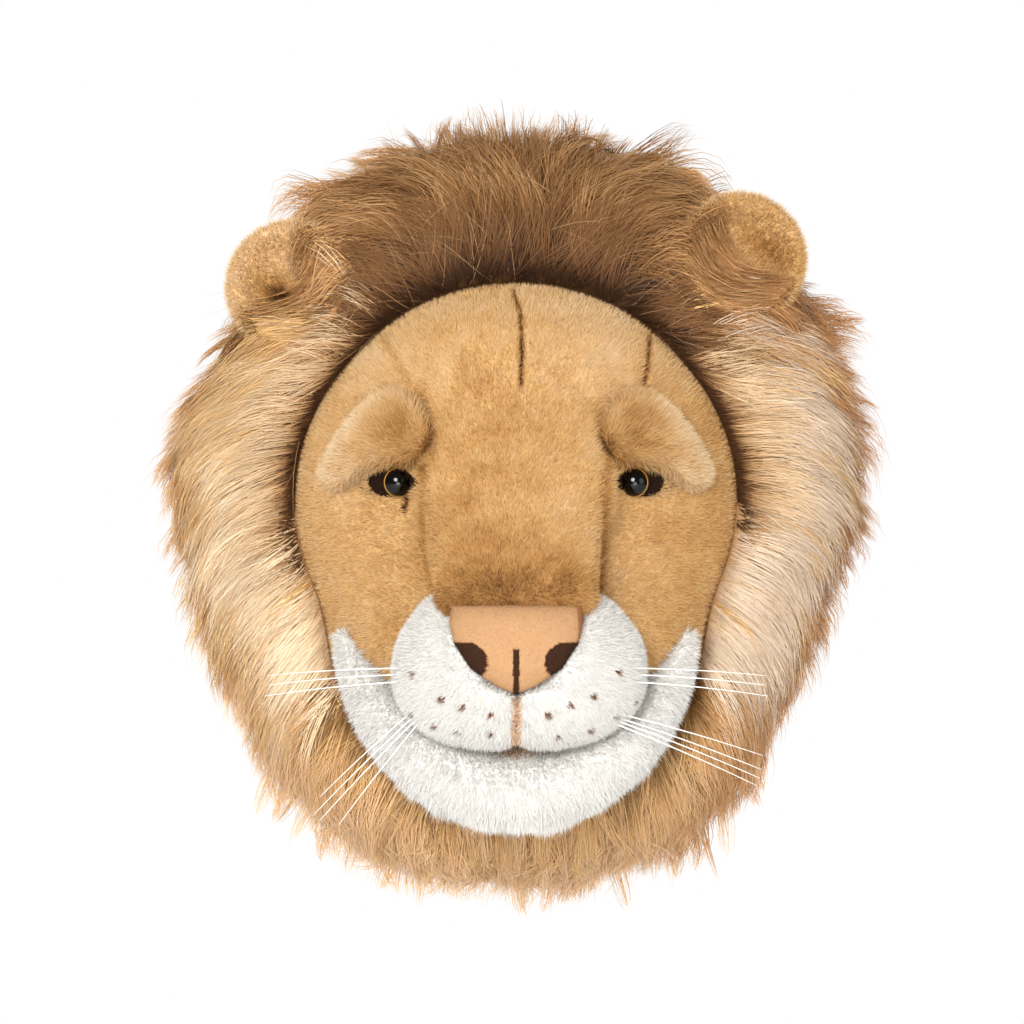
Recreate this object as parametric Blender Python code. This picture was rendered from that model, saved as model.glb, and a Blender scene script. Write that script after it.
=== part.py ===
"""A plush lion head that hangs on a wall: stuffed face, long-pile mane, white muzzle and chin.

Units are metres, +Z is up. The wall is the plane y = 0, and the head looks along -Y.
Inside the functions a place is written as (x, forward, z), where forward is the distance
from the wall. Left and right are as seen from the front.
"""

import math

import bmesh
import bpy
import numpy as np
from mathutils import Vector
from mathutils.bvhtree import BVHTree

# Clearance kept between neighbouring pieces
GAP = 0.0003
CUT_GAP = 0.0006

# Back panel, flat on the wall
PANEL_THICKNESS = 0.006
PANEL_HALF_WIDTH = 0.116
PANEL_HALF_HEIGHT = 0.124
PANEL_EDGE = 0.0015
PANEL_COLUMNS = 24

# Head: forms as (centre, half sizes), each centre (x, forward, z)
NECK_CENTRE_Z = -0.008
NECK_HALF_WIDTH = 0.096
NECK_HALF_HEIGHT = 0.105
HEAD_BACK = PANEL_THICKNESS + GAP
SKULL = ((0.0, 0.104, 0.003), (0.1015, 0.066, 0.0965))
JAW = ((0.0, 0.118, -0.056), (0.083, 0.066, 0.070))
FOREHEAD = ((0.0, 0.116, 0.050), (0.066, 0.052, 0.047))
MUZZLE_CORE = ((0.0, 0.163, -0.070), (0.048, 0.046, 0.030))
BRIDGE_TOP = (0.0, 0.142, 0.056)
BRIDGE_STOP = (0.0, 0.164, 0.008)
BRIDGE_END = (0.0, 0.201, -0.0365)
BRIDGE_HALF_WIDTH = (0.0390, 0.0355)
BRIDGE_HALF_HEIGHT = 0.024
FORM_BLEND = 0.012
BRIDGE_BLEND = 0.007
HEAD_COLUMNS = 48
HEAD_RAY_ANGLES = (9, 18, 26, 33, 40, 47, 54, 61, 68)
RIM_FORWARD = 0.122
HEAD_SECTIONS = (RIM_FORWARD, 0.104, 0.066, 0.016)

# Mane: outline radii at eight points of the compass, and its profile
MANE_COLUMNS_PER_HEAD_COLUMN = 3
MANE_RADII = {
    0: 0.162, 15: 0.166, 30: 0.166, 47: 0.150, 64: 0.173, 90: 0.174, 108: 0.174, 121: 0.172,
    137: 0.148, 155: 0.157, 170: 0.163, 190: 0.157, 212: 0.160, 232: 0.170, 250: 0.176,
    270: 0.175, 290: 0.177, 308: 0.169, 324: 0.156, 340: 0.152,
}
MANE_WIDEST_FORWARD = 0.080
MANE_DOME_FORWARD = 0.143
MANE_BACK_HALF_WIDTH = 0.126
MANE_BACK_HALF_HEIGHT = 0.134
MANE_SWEEP = 0.20
LOCK_COLUMNS = 4
LOCK_TIERS = ((0.0, 0.30, 2), (0.36, 0.62, 2), (0.68, 1.0, 3))
LOCK_HEIGHT = 0.008
LOCK_TIP = 0.007
LOCK_SHORTEST = 0.45
LOCK_LONGEST = 1.10
LOCK_LEAN = 0.03
LOCK_SEED = 11
RIM_ROOM = 0.0005
TUBE_ROOM = 0.0014

# Chin: a crescent swept under the mouth
CHIN_CENTRE_Z = -0.048
CHIN_SPAN_X = 0.078
CHIN_SPAN_Z = 0.0745
CHIN_TIP_ANGLE = math.radians(80)
CHIN_TIP_FORWARD = 0.140
CHIN_FRONT_FORWARD = 0.177
CHIN_HALF_WIDTH = (0.0045, 0.0205)
CHIN_HALF_DEPTH = (0.006, 0.028)
CHIN_STATIONS = 20
CHIN_SIDES = 8
CHIN_POINT = 1.25
CHIN_LOCK = 0.0022

# Muzzle pads: outline of the right one as (x, z), front on a common rounded form
MUZZLE_FORM = ((0.0, 0.150, -0.069), (0.067, 0.087, 0.056))
MUZZLE_OUTLINE = (
    (0.0012, -0.083), (0.0012, -0.1015), (0.017, -0.1045), (0.038, -0.0995), (0.052, -0.088),
    (0.0565, -0.074), (0.0525, -0.056), (0.0365, -0.0405), (0.027, -0.050), (0.0135, -0.0745),
)
MUZZLE_CENTRE = (0.030, -0.076)
MUZZLE_EDGE_DROP = 0.009
MUZZLE_BACK = 0.150

# Nose
NOSE_FORM = ((0.0, 0.170, -0.062), (0.060, 0.070, 0.047))
NOSE_OUTLINE = (
    (0.0, -0.0425), (0.0145, -0.0425), (0.0275, -0.0425), (0.0285, -0.049), (0.0265, -0.0585),
    (0.0195, -0.0690), (0.0085, -0.0765), (0.0, -0.0800),
)
NOSE_CENTRE = (0.0, -0.058)
NOSE_EDGE_DROP = 0.0035
NOSE_BACK = 0.205

# Brow pads: outline of the right one as (x, z)
BROW_OUTLINE = (
    (0.0385, 0.0290), (0.0400, 0.0400), (0.0465, 0.0480), (0.0570, 0.0510), (0.0690, 0.0430),
    (0.0800, 0.0290), (0.0865, 0.0145), (0.0800, 0.0085), (0.0680, 0.0150), (0.0560, 0.0185),
    (0.0460, 0.0195),
)
BROW_CENTRE = (0.060, 0.031)
BROW_HEIGHT = 0.0125
BROW_RIM = 0.0030
BROW_DEPTH = 0.016

# Eyes and the felt behind them
EYE_CENTRE = (0.0525, 0.0110)
EYE_RADIUS = 0.0066
EYE_DOME = 0.0055
EYE_RAISE = 0.0022
LINING_HALF_LENGTH = 0.0150
LINING_HALF_HEIGHT = 0.0062
LINING_CENTRE = (0.0580, 0.0108)
LINING_THICKNESS = 0.0014
LINING_CORNERS = 10

# Ears: (x, forward, z) of the disc's middle, and the direction it points in from the head
EAR_PLACES = {"ear_left": (-0.1010, 0.112, 0.0995, 137), "ear_right": (0.1010, 0.112, 0.1120, 48)}
EAR_HALF_LENGTH = 0.0300
EAR_HALF_WIDTH = 0.0290
EAR_THICKNESS = 0.0130
EAR_CUP = 0.0090
EAR_TURN = math.radians(16)
EAR_SIDES = 16

# Whiskers: root (x, z) and tip (x, forward, z), with x counted outwards
WHISKER_RADIUS = 0.00040
WHISKER_SIDES = 4
WHISKER_STEPS = 2
WHISKER_START = 0.0012
WHISKER_SAG = 0.0007
UPPER_WHISKERS = (
    ((0.0500, -0.0700), (0.1085, 0.196, -0.0735)),
    ((0.0525, -0.0730), (0.1080, 0.200, -0.0775)),
    ((0.0510, -0.0760), (0.1090, 0.204, -0.0820)),
)
LOWER_WHISKERS_RIGHT = (
    ((0.0470, -0.0905), (0.1075, 0.190, -0.1085)),
    ((0.0455, -0.0920), (0.1070, 0.194, -0.1145)),
    ((0.0440, -0.0930), (0.1060, 0.198, -0.1180)),
    ((0.0425, -0.0940), (0.1045, 0.202, -0.1210)),
)
LOWER_WHISKERS_LEFT = (
    ((0.0470, -0.0905), (0.0860, 0.188, -0.1270)),
    ((0.0455, -0.0920), (0.0885, 0.193, -0.1345)),
    ((0.0440, -0.0930), (0.0855, 0.198, -0.1365)),
    ((0.0425, -0.0940), (0.0770, 0.203, -0.1380)),
)
WHISKERS = {
    ("left", "upper"): UPPER_WHISKERS, ("left", "lower"): LOWER_WHISKERS_LEFT,
    ("right", "upper"): UPPER_WHISKERS, ("right", "lower"): LOWER_WHISKERS_RIGHT,
}

# Colour, roughness and metallic value of each material
MATERIALS = {
    "panel cloth": ((0.20, 0.13, 0.08), 0.95, 0.0),
    "tan plush": ((0.55, 0.35, 0.15), 0.95, 0.0),
    "mane fur": ((0.36, 0.21, 0.10), 0.90, 0.0),
    "white plush": ((0.86, 0.85, 0.82), 0.95, 0.0),
    "nose felt": ((0.74, 0.42, 0.22), 0.90, 0.0),
    "eye plastic": ((0.01, 0.008, 0.006), 0.08, 0.0),
    "dark felt": ((0.06, 0.03, 0.015), 0.90, 0.0),
    "nylon": ((0.90, 0.90, 0.88), 0.35, 0.0),
}


def clear_scene():
    for item in list(bpy.data.objects):
        bpy.data.objects.remove(item, do_unlink=True)


def material(name):
    colour, roughness, metallic = MATERIALS[name]
    made = bpy.data.materials.get(name)
    if made is None:
        made = bpy.data.materials.new(name)
        made.use_nodes = True
        shader = made.node_tree.nodes["Principled BSDF"]
        shader.inputs["Base Color"].default_value = (*colour, 1.0)
        shader.inputs["Roughness"].default_value = roughness
        shader.inputs["Metallic"].default_value = metallic
        made.diffuse_color = (*colour, 1.0)
    return made


def world(place):
    """(x, forward, z) as a point of the scene."""
    return Vector((place[0], -place[1], place[2]))


def add_object(name, places, faces, material_name):
    """One object from points (x, forward, z) and faces, with its faces turned outwards."""
    mesh = bpy.data.meshes.new(name)
    mesh.from_pydata([world(p) for p in places], [], [tuple(f) for f in faces])
    shape = bmesh.new()
    shape.from_mesh(mesh)
    bmesh.ops.remove_doubles(shape, verts=shape.verts, dist=1e-6)
    bmesh.ops.triangulate(shape, faces=shape.faces)
    bmesh.ops.recalc_face_normals(shape, faces=shape.faces)
    shape.to_mesh(mesh)
    shape.free()
    mesh.shade_smooth()
    mesh.set_sharp_from_angle(angle=math.radians(50))
    thing = bpy.data.objects.new(name, mesh)
    thing.data.materials.append(material(material_name))
    bpy.context.scene.collection.objects.link(thing)
    return thing


def swollen_copy(thing, distance):
    """A cutter: the object's whole uncut form, a little larger all round."""
    shape = bmesh.new()
    shape.from_mesh(thing.data)
    shape.normal_update()
    for vertex in shape.verts:
        vertex.co += vertex.normal * distance
    mesh = bpy.data.meshes.new("cutter")
    shape.to_mesh(mesh)
    shape.free()
    cutter = bpy.data.objects.new(thing.name + "_room", mesh)
    bpy.context.scene.collection.objects.link(cutter)
    cutter.hide_render = True
    cutter.display_type = "WIRE"
    return cutter


def make_room(thing, neighbours):
    """Cuts the neighbours, with the gap round them, out of the object."""
    for neighbour in neighbours:
        step = thing.modifiers.new("room for " + neighbour.name, "BOOLEAN")
        step.operation = "DIFFERENCE"
        step.solver = "EXACT"
        step.object = swollen_copy(neighbour, CUT_GAP)


def ring_faces(rows, columns):
    """Quads between rows of a grid whose columns run all the way round."""
    faces = []
    for row in range(rows - 1):
        upper = row * columns
        lower = upper + columns
        for column in range(columns):
            after = (column + 1) % columns
            faces.append((upper + column, upper + after, lower + after, lower + column))
    return faces


def split_faces(quads):
    """Each quad as two triangles, always along the same diagonal."""
    faces = []
    for a, b, c, d in quads:
        faces += [(a, b, c), (a, c, d)]
    return faces


def ellipsoid(points, form):
    """Signed distance, near enough, from an ellipsoid."""
    centre, half = np.array(form[0]), np.array(form[1])
    scaled = (points - centre) / half
    size = np.linalg.norm(scaled, axis=-1)
    slope = np.linalg.norm(scaled / half, axis=-1)
    return size * (size - 1.0) / np.maximum(slope, 1e-9)


def bar(points, start, end, half_widths, half_height):
    """Signed distance, near enough, from a rounded tapering bar with a flattened section."""
    start, end = np.array(start), np.array(end)
    axis = end - start
    length = np.linalg.norm(axis)
    axis = axis / length
    upward = np.array((0.0, -axis[2], axis[1]))
    offset = points - start
    along = offset @ axis
    beyond = along - np.clip(along, 0.0, length)
    share = np.clip(along / length, 0.0, 1.0)
    across = np.abs(offset[..., 0]) / (half_widths[0] + (half_widths[1] - half_widths[0]) * share)
    height = np.abs(offset @ upward) / half_height
    past = np.abs(beyond) / half_height
    return ((across**3 + height**3 + past**3) ** (1.0 / 3.0) - 1.0) * half_height


def neck(points):
    """Signed distance, near enough, from the straight part behind the face."""
    across = points[..., 0] / NECK_HALF_WIDTH
    height = (points[..., 2] - NECK_CENTRE_Z) / NECK_HALF_HEIGHT
    side = (np.sqrt(across**2 + height**2) - 1.0) * NECK_HALF_WIDTH
    front = points[..., 1] - SKULL[0][1]
    return np.maximum(side, front)


def join_softly(first, second, blend):
    overlap = np.maximum(blend - np.abs(first - second), 0.0) / blend
    return np.minimum(first, second) - overlap * overlap * blend / 4.0


def head_distance(points):
    """Below zero inside the stuffed head."""
    total = ellipsoid(points, SKULL)
    for form in (JAW, FOREHEAD, MUZZLE_CORE):
        total = join_softly(total, ellipsoid(points, form), FORM_BLEND)
    total = join_softly(total, neck(points), FORM_BLEND)
    upper_widths = (BRIDGE_HALF_WIDTH[0], BRIDGE_HALF_WIDTH[0])
    upper = bar(points, BRIDGE_TOP, BRIDGE_STOP, upper_widths, BRIDGE_HALF_HEIGHT)
    lower = bar(points, BRIDGE_STOP, BRIDGE_END, BRIDGE_HALF_WIDTH, BRIDGE_HALF_HEIGHT)
    ridge = join_softly(upper, lower, FORM_BLEND)
    return join_softly(total, ridge, BRIDGE_BLEND)


def outer_crossing(distance, origins, directions, reach=0.30, steps=120):
    """How far along each ray the surface lies, seen from outside."""
    near = np.full(len(origins), 0.0)
    far = np.full(len(origins), reach)
    found = np.zeros(len(origins), dtype=bool)
    for step in range(steps, 0, -1):
        here = reach * (step - 1) / steps
        inside = distance(origins + directions * here) < 0.0
        fresh = inside & ~found
        near[fresh] = here
        far[fresh] = reach * step / steps
        found |= inside
    for _ in range(24):
        middle = 0.5 * (near + far)
        inside = distance(origins + directions * middle[:, None]) < 0.0
        near = np.where(inside, middle, near)
        far = np.where(inside, far, middle)
    return near


def head_front(x, z):
    """How far from the wall the head's front lies at (x, z)."""
    origin = np.array([[x, 0.0, z]])
    forward = np.array([[0.0, 1.0, 0.0]])
    return float(outer_crossing(head_distance, origin, forward)[0])


def form_front(form, x, z):
    """How far from the wall a rounded form's front lies at (x, z)."""
    centre, half = form
    left = 1.0 - ((x - centre[0]) / half[0]) ** 2 - ((z - centre[2]) / half[2]) ** 2
    return centre[1] + half[1] * math.sqrt(max(left, 0.02))


def head_section(forward):
    """Points round the head at one distance from the wall, one for each column."""
    turns = np.linspace(0.0, 2.0 * math.pi, HEAD_COLUMNS, endpoint=False)
    origins = np.tile((0.0, forward, NECK_CENTRE_Z), (HEAD_COLUMNS, 1))
    directions = np.stack([np.cos(turns), np.zeros_like(turns), np.sin(turns)], axis=1)
    reach = outer_crossing(head_distance, origins, directions)
    return origins + directions * reach[:, None]


def head_cap(angle):
    """Points round the head where rays at one angle from the axis leave it."""
    turns = np.linspace(0.0, 2.0 * math.pi, HEAD_COLUMNS, endpoint=False)
    origins = np.tile((0.0, SKULL[0][1], NECK_CENTRE_Z), (HEAD_COLUMNS, 1))
    side, ahead = math.sin(angle), math.cos(angle)
    directions = np.stack([np.cos(turns) * side, np.full_like(turns, ahead), np.sin(turns) * side], axis=1)
    reach = outer_crossing(head_distance, origins, directions)
    return origins + directions * reach[:, None]


def make_back_panel():
    columns = PANEL_COLUMNS
    turns = [2.0 * math.pi * i / columns for i in range(columns)]
    levels = (
        (0.0, PANEL_EDGE), (PANEL_EDGE, 0.0),
        (PANEL_THICKNESS - PANEL_EDGE, 0.0), (PANEL_THICKNESS, PANEL_EDGE),
    )
    places = []
    for forward, inset in levels:
        for turn in turns:
            x = (PANEL_HALF_WIDTH - inset) * math.cos(turn)
            z = (PANEL_HALF_HEIGHT - inset) * math.sin(turn)
            places.append((x, forward, z))
    faces = ring_faces(len(levels), columns)
    faces.append(range(columns))
    faces.append(range(3 * columns, 4 * columns))
    return add_object("back_panel", places, faces, "panel cloth")


def make_head():
    tip = head_cap(0.0)[0]
    rows = [head_cap(math.radians(angle)) for angle in HEAD_RAY_ANGLES]
    rows += [head_section(forward) for forward in HEAD_SECTIONS]
    edge = head_section(HEAD_SECTIONS[-1])
    middle = np.array((0.0, 0.0, NECK_CENTRE_Z))
    last = middle + (edge - middle) * 0.96
    last[:, 1] = HEAD_BACK
    rows.append(last)
    places = [p for row in rows for p in row]
    faces = split_faces(ring_faces(len(rows), HEAD_COLUMNS))
    start = (len(rows) - 1) * HEAD_COLUMNS
    faces.append(range(start, start + HEAD_COLUMNS))
    places.append(tip)
    for column in range(HEAD_COLUMNS):
        faces.append((len(places) - 1, column, (column + 1) % HEAD_COLUMNS))
    return add_object("head", places, faces, "tan plush")


def mane_radius(turn):
    """Outline radius of the mane in a direction, read smoothly between the named ones."""
    degrees = math.degrees(turn) % 360
    stops = sorted(MANE_RADII)
    for index, low in enumerate(stops):
        high = stops[(index + 1) % len(stops)]
        span = (high - low) % 360
        into = (degrees - low) % 360
        if into < span:
            share = 0.5 - 0.5 * math.cos(math.pi * into / span)
            return MANE_RADII[low] * (1.0 - share) + MANE_RADII[high] * share
    return MANE_RADII[stops[0]]


def mane_curve(share, inner, outer):
    """(radius, forward) on the mane's front, from the rim at the face to the widest part."""
    width = outer - inner
    stations = (
        (inner, RIM_FORWARD + 0.001),
        (inner + 0.14 * width, MANE_DOME_FORWARD),
        (inner + 0.78 * width, MANE_DOME_FORWARD - 0.012),
        (outer, MANE_WIDEST_FORWARD),
    )
    rest = 1.0 - share
    weights = (rest**3, 3 * rest**2 * share, 3 * rest * share**2, share**3)
    radius = sum(w * s[0] for w, s in zip(weights, stations))
    forward = sum(w * s[1] for w, s in zip(weights, stations))
    return radius, forward


def fine_section(forward, grow):
    """The head's section with the mane's columns, on the same straight edges."""
    section = head_section(forward)
    middle = np.array((0.0, forward, NECK_CENTRE_Z))
    outward = section - middle
    outward /= np.linalg.norm(outward, axis=1)[:, None]
    section = section + outward * grow
    points = []
    for index, here in enumerate(section):
        after = section[(index + 1) % len(section)]
        for part in range(MANE_COLUMNS_PER_HEAD_COLUMN):
            points.append(here + (after - here) * part / MANE_COLUMNS_PER_HEAD_COLUMN)
    return points


def make_mane():
    chance = np.random.default_rng(LOCK_SEED)
    columns = HEAD_COLUMNS * MANE_COLUMNS_PER_HEAD_COLUMN
    locks = columns // LOCK_COLUMNS
    lengths = chance.uniform(LOCK_SHORTEST, LOCK_LONGEST, (len(LOCK_TIERS), locks))
    leans = chance.uniform(-LOCK_LEAN, LOCK_LEAN, (len(LOCK_TIERS), locks))
    rim = fine_section(RIM_FORWARD, RIM_ROOM)
    rim_turns = [math.atan2(p[2], p[0]) % (2.0 * math.pi) for p in rim]
    rim_radii = [math.hypot(p[0], p[2]) for p in rim]
    turns = [2.0 * math.pi * i / columns for i in range(columns)]
    rows = [rim]
    for tier, (first, last, steps) in enumerate(LOCK_TIERS):
        shift = (tier % 2) * LOCK_COLUMNS // 2
        for step in range(1 if tier == 0 else 0, steps + 1):
            share = first + (last - first) * step / steps
            grown = (share - first) / (last - first)
            row = []
            for column, turn in enumerate(turns):
                place = (column + shift) % columns
                lock = place // LOCK_COLUMNS
                ridge = 0.5 - 0.5 * math.cos(2.0 * math.pi * (place % LOCK_COLUMNS) / LOCK_COLUMNS)
                lean = leans[tier][lock] * ridge * grown
                swept = turn - MANE_SWEEP * math.cos(turn) * share**1.3 + lean
                inner = float(np.interp(swept, rim_turns, rim_radii, period=2.0 * math.pi))
                outer = mane_radius(swept)
                radius, forward = mane_curve(share, inner, outer)
                lift = LOCK_HEIGHT * grown**0.8 * ridge * (0.5 + 0.5 * lengths[tier][lock])
                if tier == len(LOCK_TIERS) - 1 and step == steps:
                    radius += LOCK_TIP * (2.0 * ridge * lengths[tier][lock] - 0.75)
                    lift *= 0.4
                rise = math.radians(90 - 78 * share)
                radius += lift * math.cos(rise)
                forward += lift * math.sin(rise)
                row.append((radius * math.cos(swept), forward, radius * math.sin(swept)))
            rows.append(row)
    tips = rows[-1]
    for share in (0.5,):
        row = []
        for column, turn in enumerate(turns):
            tip = tips[column]
            swept = math.atan2(tip[2], tip[0])
            back_x = MANE_BACK_HALF_WIDTH * math.cos(swept)
            back_z = MANE_BACK_HALF_HEIGHT * math.sin(swept)
            start = math.hypot(tip[0], tip[2])
            end = math.hypot(back_x, back_z)
            radius = start + (end - start) * share**1.5 - 0.004 * share * (column % 2)
            forward = tip[1] + (0.012 - tip[1]) * share
            row.append((radius * math.cos(swept), forward, radius * math.sin(swept)))
        rows.append(row)
    row = []
    for column, turn in enumerate(turns):
        swept = math.atan2(tips[column][2], tips[column][0])
        row.append((MANE_BACK_HALF_WIDTH * math.cos(swept), HEAD_BACK, MANE_BACK_HALF_HEIGHT * math.sin(swept)))
    rows.append(row)
    places = [tuple(p) for row in rows for p in row]
    faces = ring_faces(len(rows), columns)
    places += mane_tube(faces, columns, len(rows))
    return add_object("mane", places, faces, "mane fur")


def mane_tube(faces, columns, rows):
    """The mane's inner side, with the head's columns, joined to its back edge and its rim."""
    levels = [HEAD_BACK] + list(reversed(HEAD_SECTIONS[1:]))
    places = []
    for forward in levels:
        ring = fine_section(max(forward, HEAD_SECTIONS[-1]), TUBE_ROOM)[::MANE_COLUMNS_PER_HEAD_COLUMN]
        places += [(p[0], forward, p[2]) for p in ring]
    first = rows * columns
    for index in range(len(levels) - 1):
        for column in range(HEAD_COLUMNS):
            after = (column + 1) % HEAD_COLUMNS
            low = first + index * HEAD_COLUMNS
            high = low + HEAD_COLUMNS
            faces += split_faces([(high + column, high + after, low + after, low + column)])
    last = first + (len(levels) - 1) * HEAD_COLUMNS
    for wide, narrow in (((rows - 1) * columns, first), (0, last)):
        for column in range(HEAD_COLUMNS):
            after = (column + 1) % HEAD_COLUMNS
            start = column * MANE_COLUMNS_PER_HEAD_COLUMN
            for part in range(MANE_COLUMNS_PER_HEAD_COLUMN):
                here = wide + start + part
                there = wide + (start + part + 1) % columns
                faces.append((here, there, narrow + after))
            faces.append((wide + start, narrow + after, narrow + column))
    return places


def smooth_outline(points, copies=3):
    """A closed outline through the points, rounded between them."""
    outline = []
    count = len(points)
    for index in range(count):
        before = points[index - 1]
        here = points[index]
        after = points[(index + 1) % count]
        beyond = points[(index + 2) % count]
        for part in range(copies):
            t = part / copies
            place = []
            for k in range(2):
                a = 2.0 * here[k]
                b = after[k] - before[k]
                c = 2.0 * before[k] - 5.0 * here[k] + 4.0 * after[k] - beyond[k]
                d = -before[k] + 3.0 * here[k] - 3.0 * after[k] + beyond[k]
                place.append(0.5 * (a + b * t + c * t * t + d * t**3))
            outline.append(tuple(place))
    return outline


def mirrored(points, side):
    """The outline for one side: 1 keeps the right one, -1 mirrors it."""
    return [(side * x, z) for x, z in points]


def make_pad(name, outline, centre, front, back, material_name, shares=(0.45, 0.80, 1.0)):
    """A crowned pad over an outline: front(x, z, share) and back(x, z) give its faces."""
    places = []
    columns = len(outline)
    for share in shares:
        for x, z in outline:
            px = centre[0] + (x - centre[0]) * share
            pz = centre[1] + (z - centre[1]) * share
            places.append((px, front(px, pz, share), pz))
    for x, z in outline:
        places.append((x, back(x, z), z))
    faces = ring_faces(len(shares) + 1, columns)
    places.append((centre[0], front(centre[0], centre[1], 0.0), centre[1]))
    for column in range(columns):
        faces.append((len(places) - 1, column, (column + 1) % columns))
    start = len(shares) * columns
    faces.append(range(start, start + columns))
    return add_object(name, places, faces, material_name)


def rounded_edge(share, drop, power=3.0):
    """How far a pad's edge falls back from its form."""
    return drop * (1.0 - math.sqrt(max(1.0 - share**power, 0.0)))


def make_nose():
    outline = list(NOSE_OUTLINE) + [(-x, z) for x, z in reversed(NOSE_OUTLINE[1:-1])]

    def front(x, z, share):
        return form_front(NOSE_FORM, x, z) - rounded_edge(share, NOSE_EDGE_DROP, 5.0)

    return make_pad("nose", outline, NOSE_CENTRE, front, lambda x, z: NOSE_BACK, "nose felt")


def make_muzzle(name, side):
    outline = smooth_outline(mirrored(MUZZLE_OUTLINE, side), 2)
    outline = [(side * max(side * x, 0.0006), z) for x, z in outline]

    def front(x, z, share):
        return form_front(MUZZLE_FORM, x, z) - rounded_edge(share, MUZZLE_EDGE_DROP)

    centre = (side * MUZZLE_CENTRE[0], MUZZLE_CENTRE[1])
    return make_pad(name, outline, centre, front, lambda x, z: MUZZLE_BACK, "white plush")


def make_chin():
    places = []
    for station in range(CHIN_STATIONS):
        along = 2.0 * station / (CHIN_STATIONS - 1) - 1.0
        angle = along * CHIN_TIP_ANGLE
        fullness = max(math.cos(angle * 90.0 / 83.0), 0.0)
        x = CHIN_SPAN_X * math.sin(angle)
        z = CHIN_CENTRE_Z - CHIN_SPAN_Z * math.cos(angle) ** CHIN_POINT
        forward = CHIN_TIP_FORWARD + (CHIN_FRONT_FORWARD - CHIN_TIP_FORWARD) * fullness
        width = CHIN_HALF_WIDTH[0] + (CHIN_HALF_WIDTH[1] - CHIN_HALF_WIDTH[0]) * fullness
        depth = CHIN_HALF_DEPTH[0] + (CHIN_HALF_DEPTH[1] - CHIN_HALF_DEPTH[0]) * fullness
        outward = np.array((math.sin(angle), 0.0, -math.cos(angle)))
        lock = CHIN_LOCK * (station % 2) * fullness
        for side in range(CHIN_SIDES):
            turn = 2.0 * math.pi * side / CHIN_SIDES
            low = max(math.cos(turn), 0.0)
            reach = width * math.cos(turn) + lock * low
            place = np.array((x, forward, z)) + outward * reach
            place[1] += depth * math.sin(turn)
            places.append(place)
    faces = ring_faces(CHIN_STATIONS, CHIN_SIDES)
    faces.append(range(CHIN_SIDES))
    faces.append(range((CHIN_STATIONS - 1) * CHIN_SIDES, CHIN_STATIONS * CHIN_SIDES))
    return add_object("chin", places, faces, "white plush")


def make_brow(name, side):
    outline = smooth_outline(mirrored(BROW_OUTLINE, side), 2)

    def front(x, z, share):
        crown = BROW_RIM + BROW_HEIGHT * math.sqrt(max(1.0 - share**2.2, 0.0))
        return head_front(x, z) + crown

    def back(x, z):
        return head_front(x, z) - BROW_DEPTH

    centre = (side * BROW_CENTRE[0], BROW_CENTRE[1])
    return make_pad(name, outline, centre, front, back, "tan plush")


def make_eye_lining(name, side):
    corners = []
    for step in range(LINING_CORNERS):
        turn = 2.0 * math.pi * step / LINING_CORNERS
        point = abs(math.sin(turn)) ** 1.4 * math.copysign(1.0, math.sin(turn))
        corners.append((LINING_CENTRE[0] + LINING_HALF_LENGTH * math.cos(turn),
                        LINING_CENTRE[1] + LINING_HALF_HEIGHT * point))
    outline = mirrored(corners, side)

    def front(x, z, share):
        return head_front(x, z) + LINING_THICKNESS

    def back(x, z):
        return head_front(x, z) - 0.004

    centre = (side * LINING_CENTRE[0], LINING_CENTRE[1])
    return make_pad(name, outline, centre, front, back, "dark felt", shares=(0.5, 1.0))


def make_eye(name, side):
    base = head_front(EYE_CENTRE[0], EYE_CENTRE[1]) + EYE_RAISE
    columns, rings = 14, 3
    places = []
    for ring in range(rings):
        lean = math.radians(90) * (1.0 - ring / rings)
        for column in range(columns):
            turn = 2.0 * math.pi * column / columns
            x = side * EYE_CENTRE[0] + EYE_RADIUS * math.sin(lean) * math.cos(turn)
            z = EYE_CENTRE[1] + EYE_RADIUS * math.sin(lean) * math.sin(turn)
            places.append((x, base + EYE_DOME * math.cos(lean), z))
    for column in range(columns):
        edge = places[column]
        places.append((edge[0], base - 0.012, edge[2]))
    faces = ring_faces(rings, columns)
    places.append((side * EYE_CENTRE[0], base + EYE_DOME, EYE_CENTRE[1]))
    top = len(places) - 1
    for column in range(columns):
        after = (column + 1) % columns
        faces.append((top, (rings - 1) * columns + column, (rings - 1) * columns + after))
        faces.append((column, after, rings * columns + after, rings * columns + column))
    faces.append(range(rings * columns, (rings + 1) * columns))
    return add_object(name, places, faces, "eye plastic")


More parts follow.
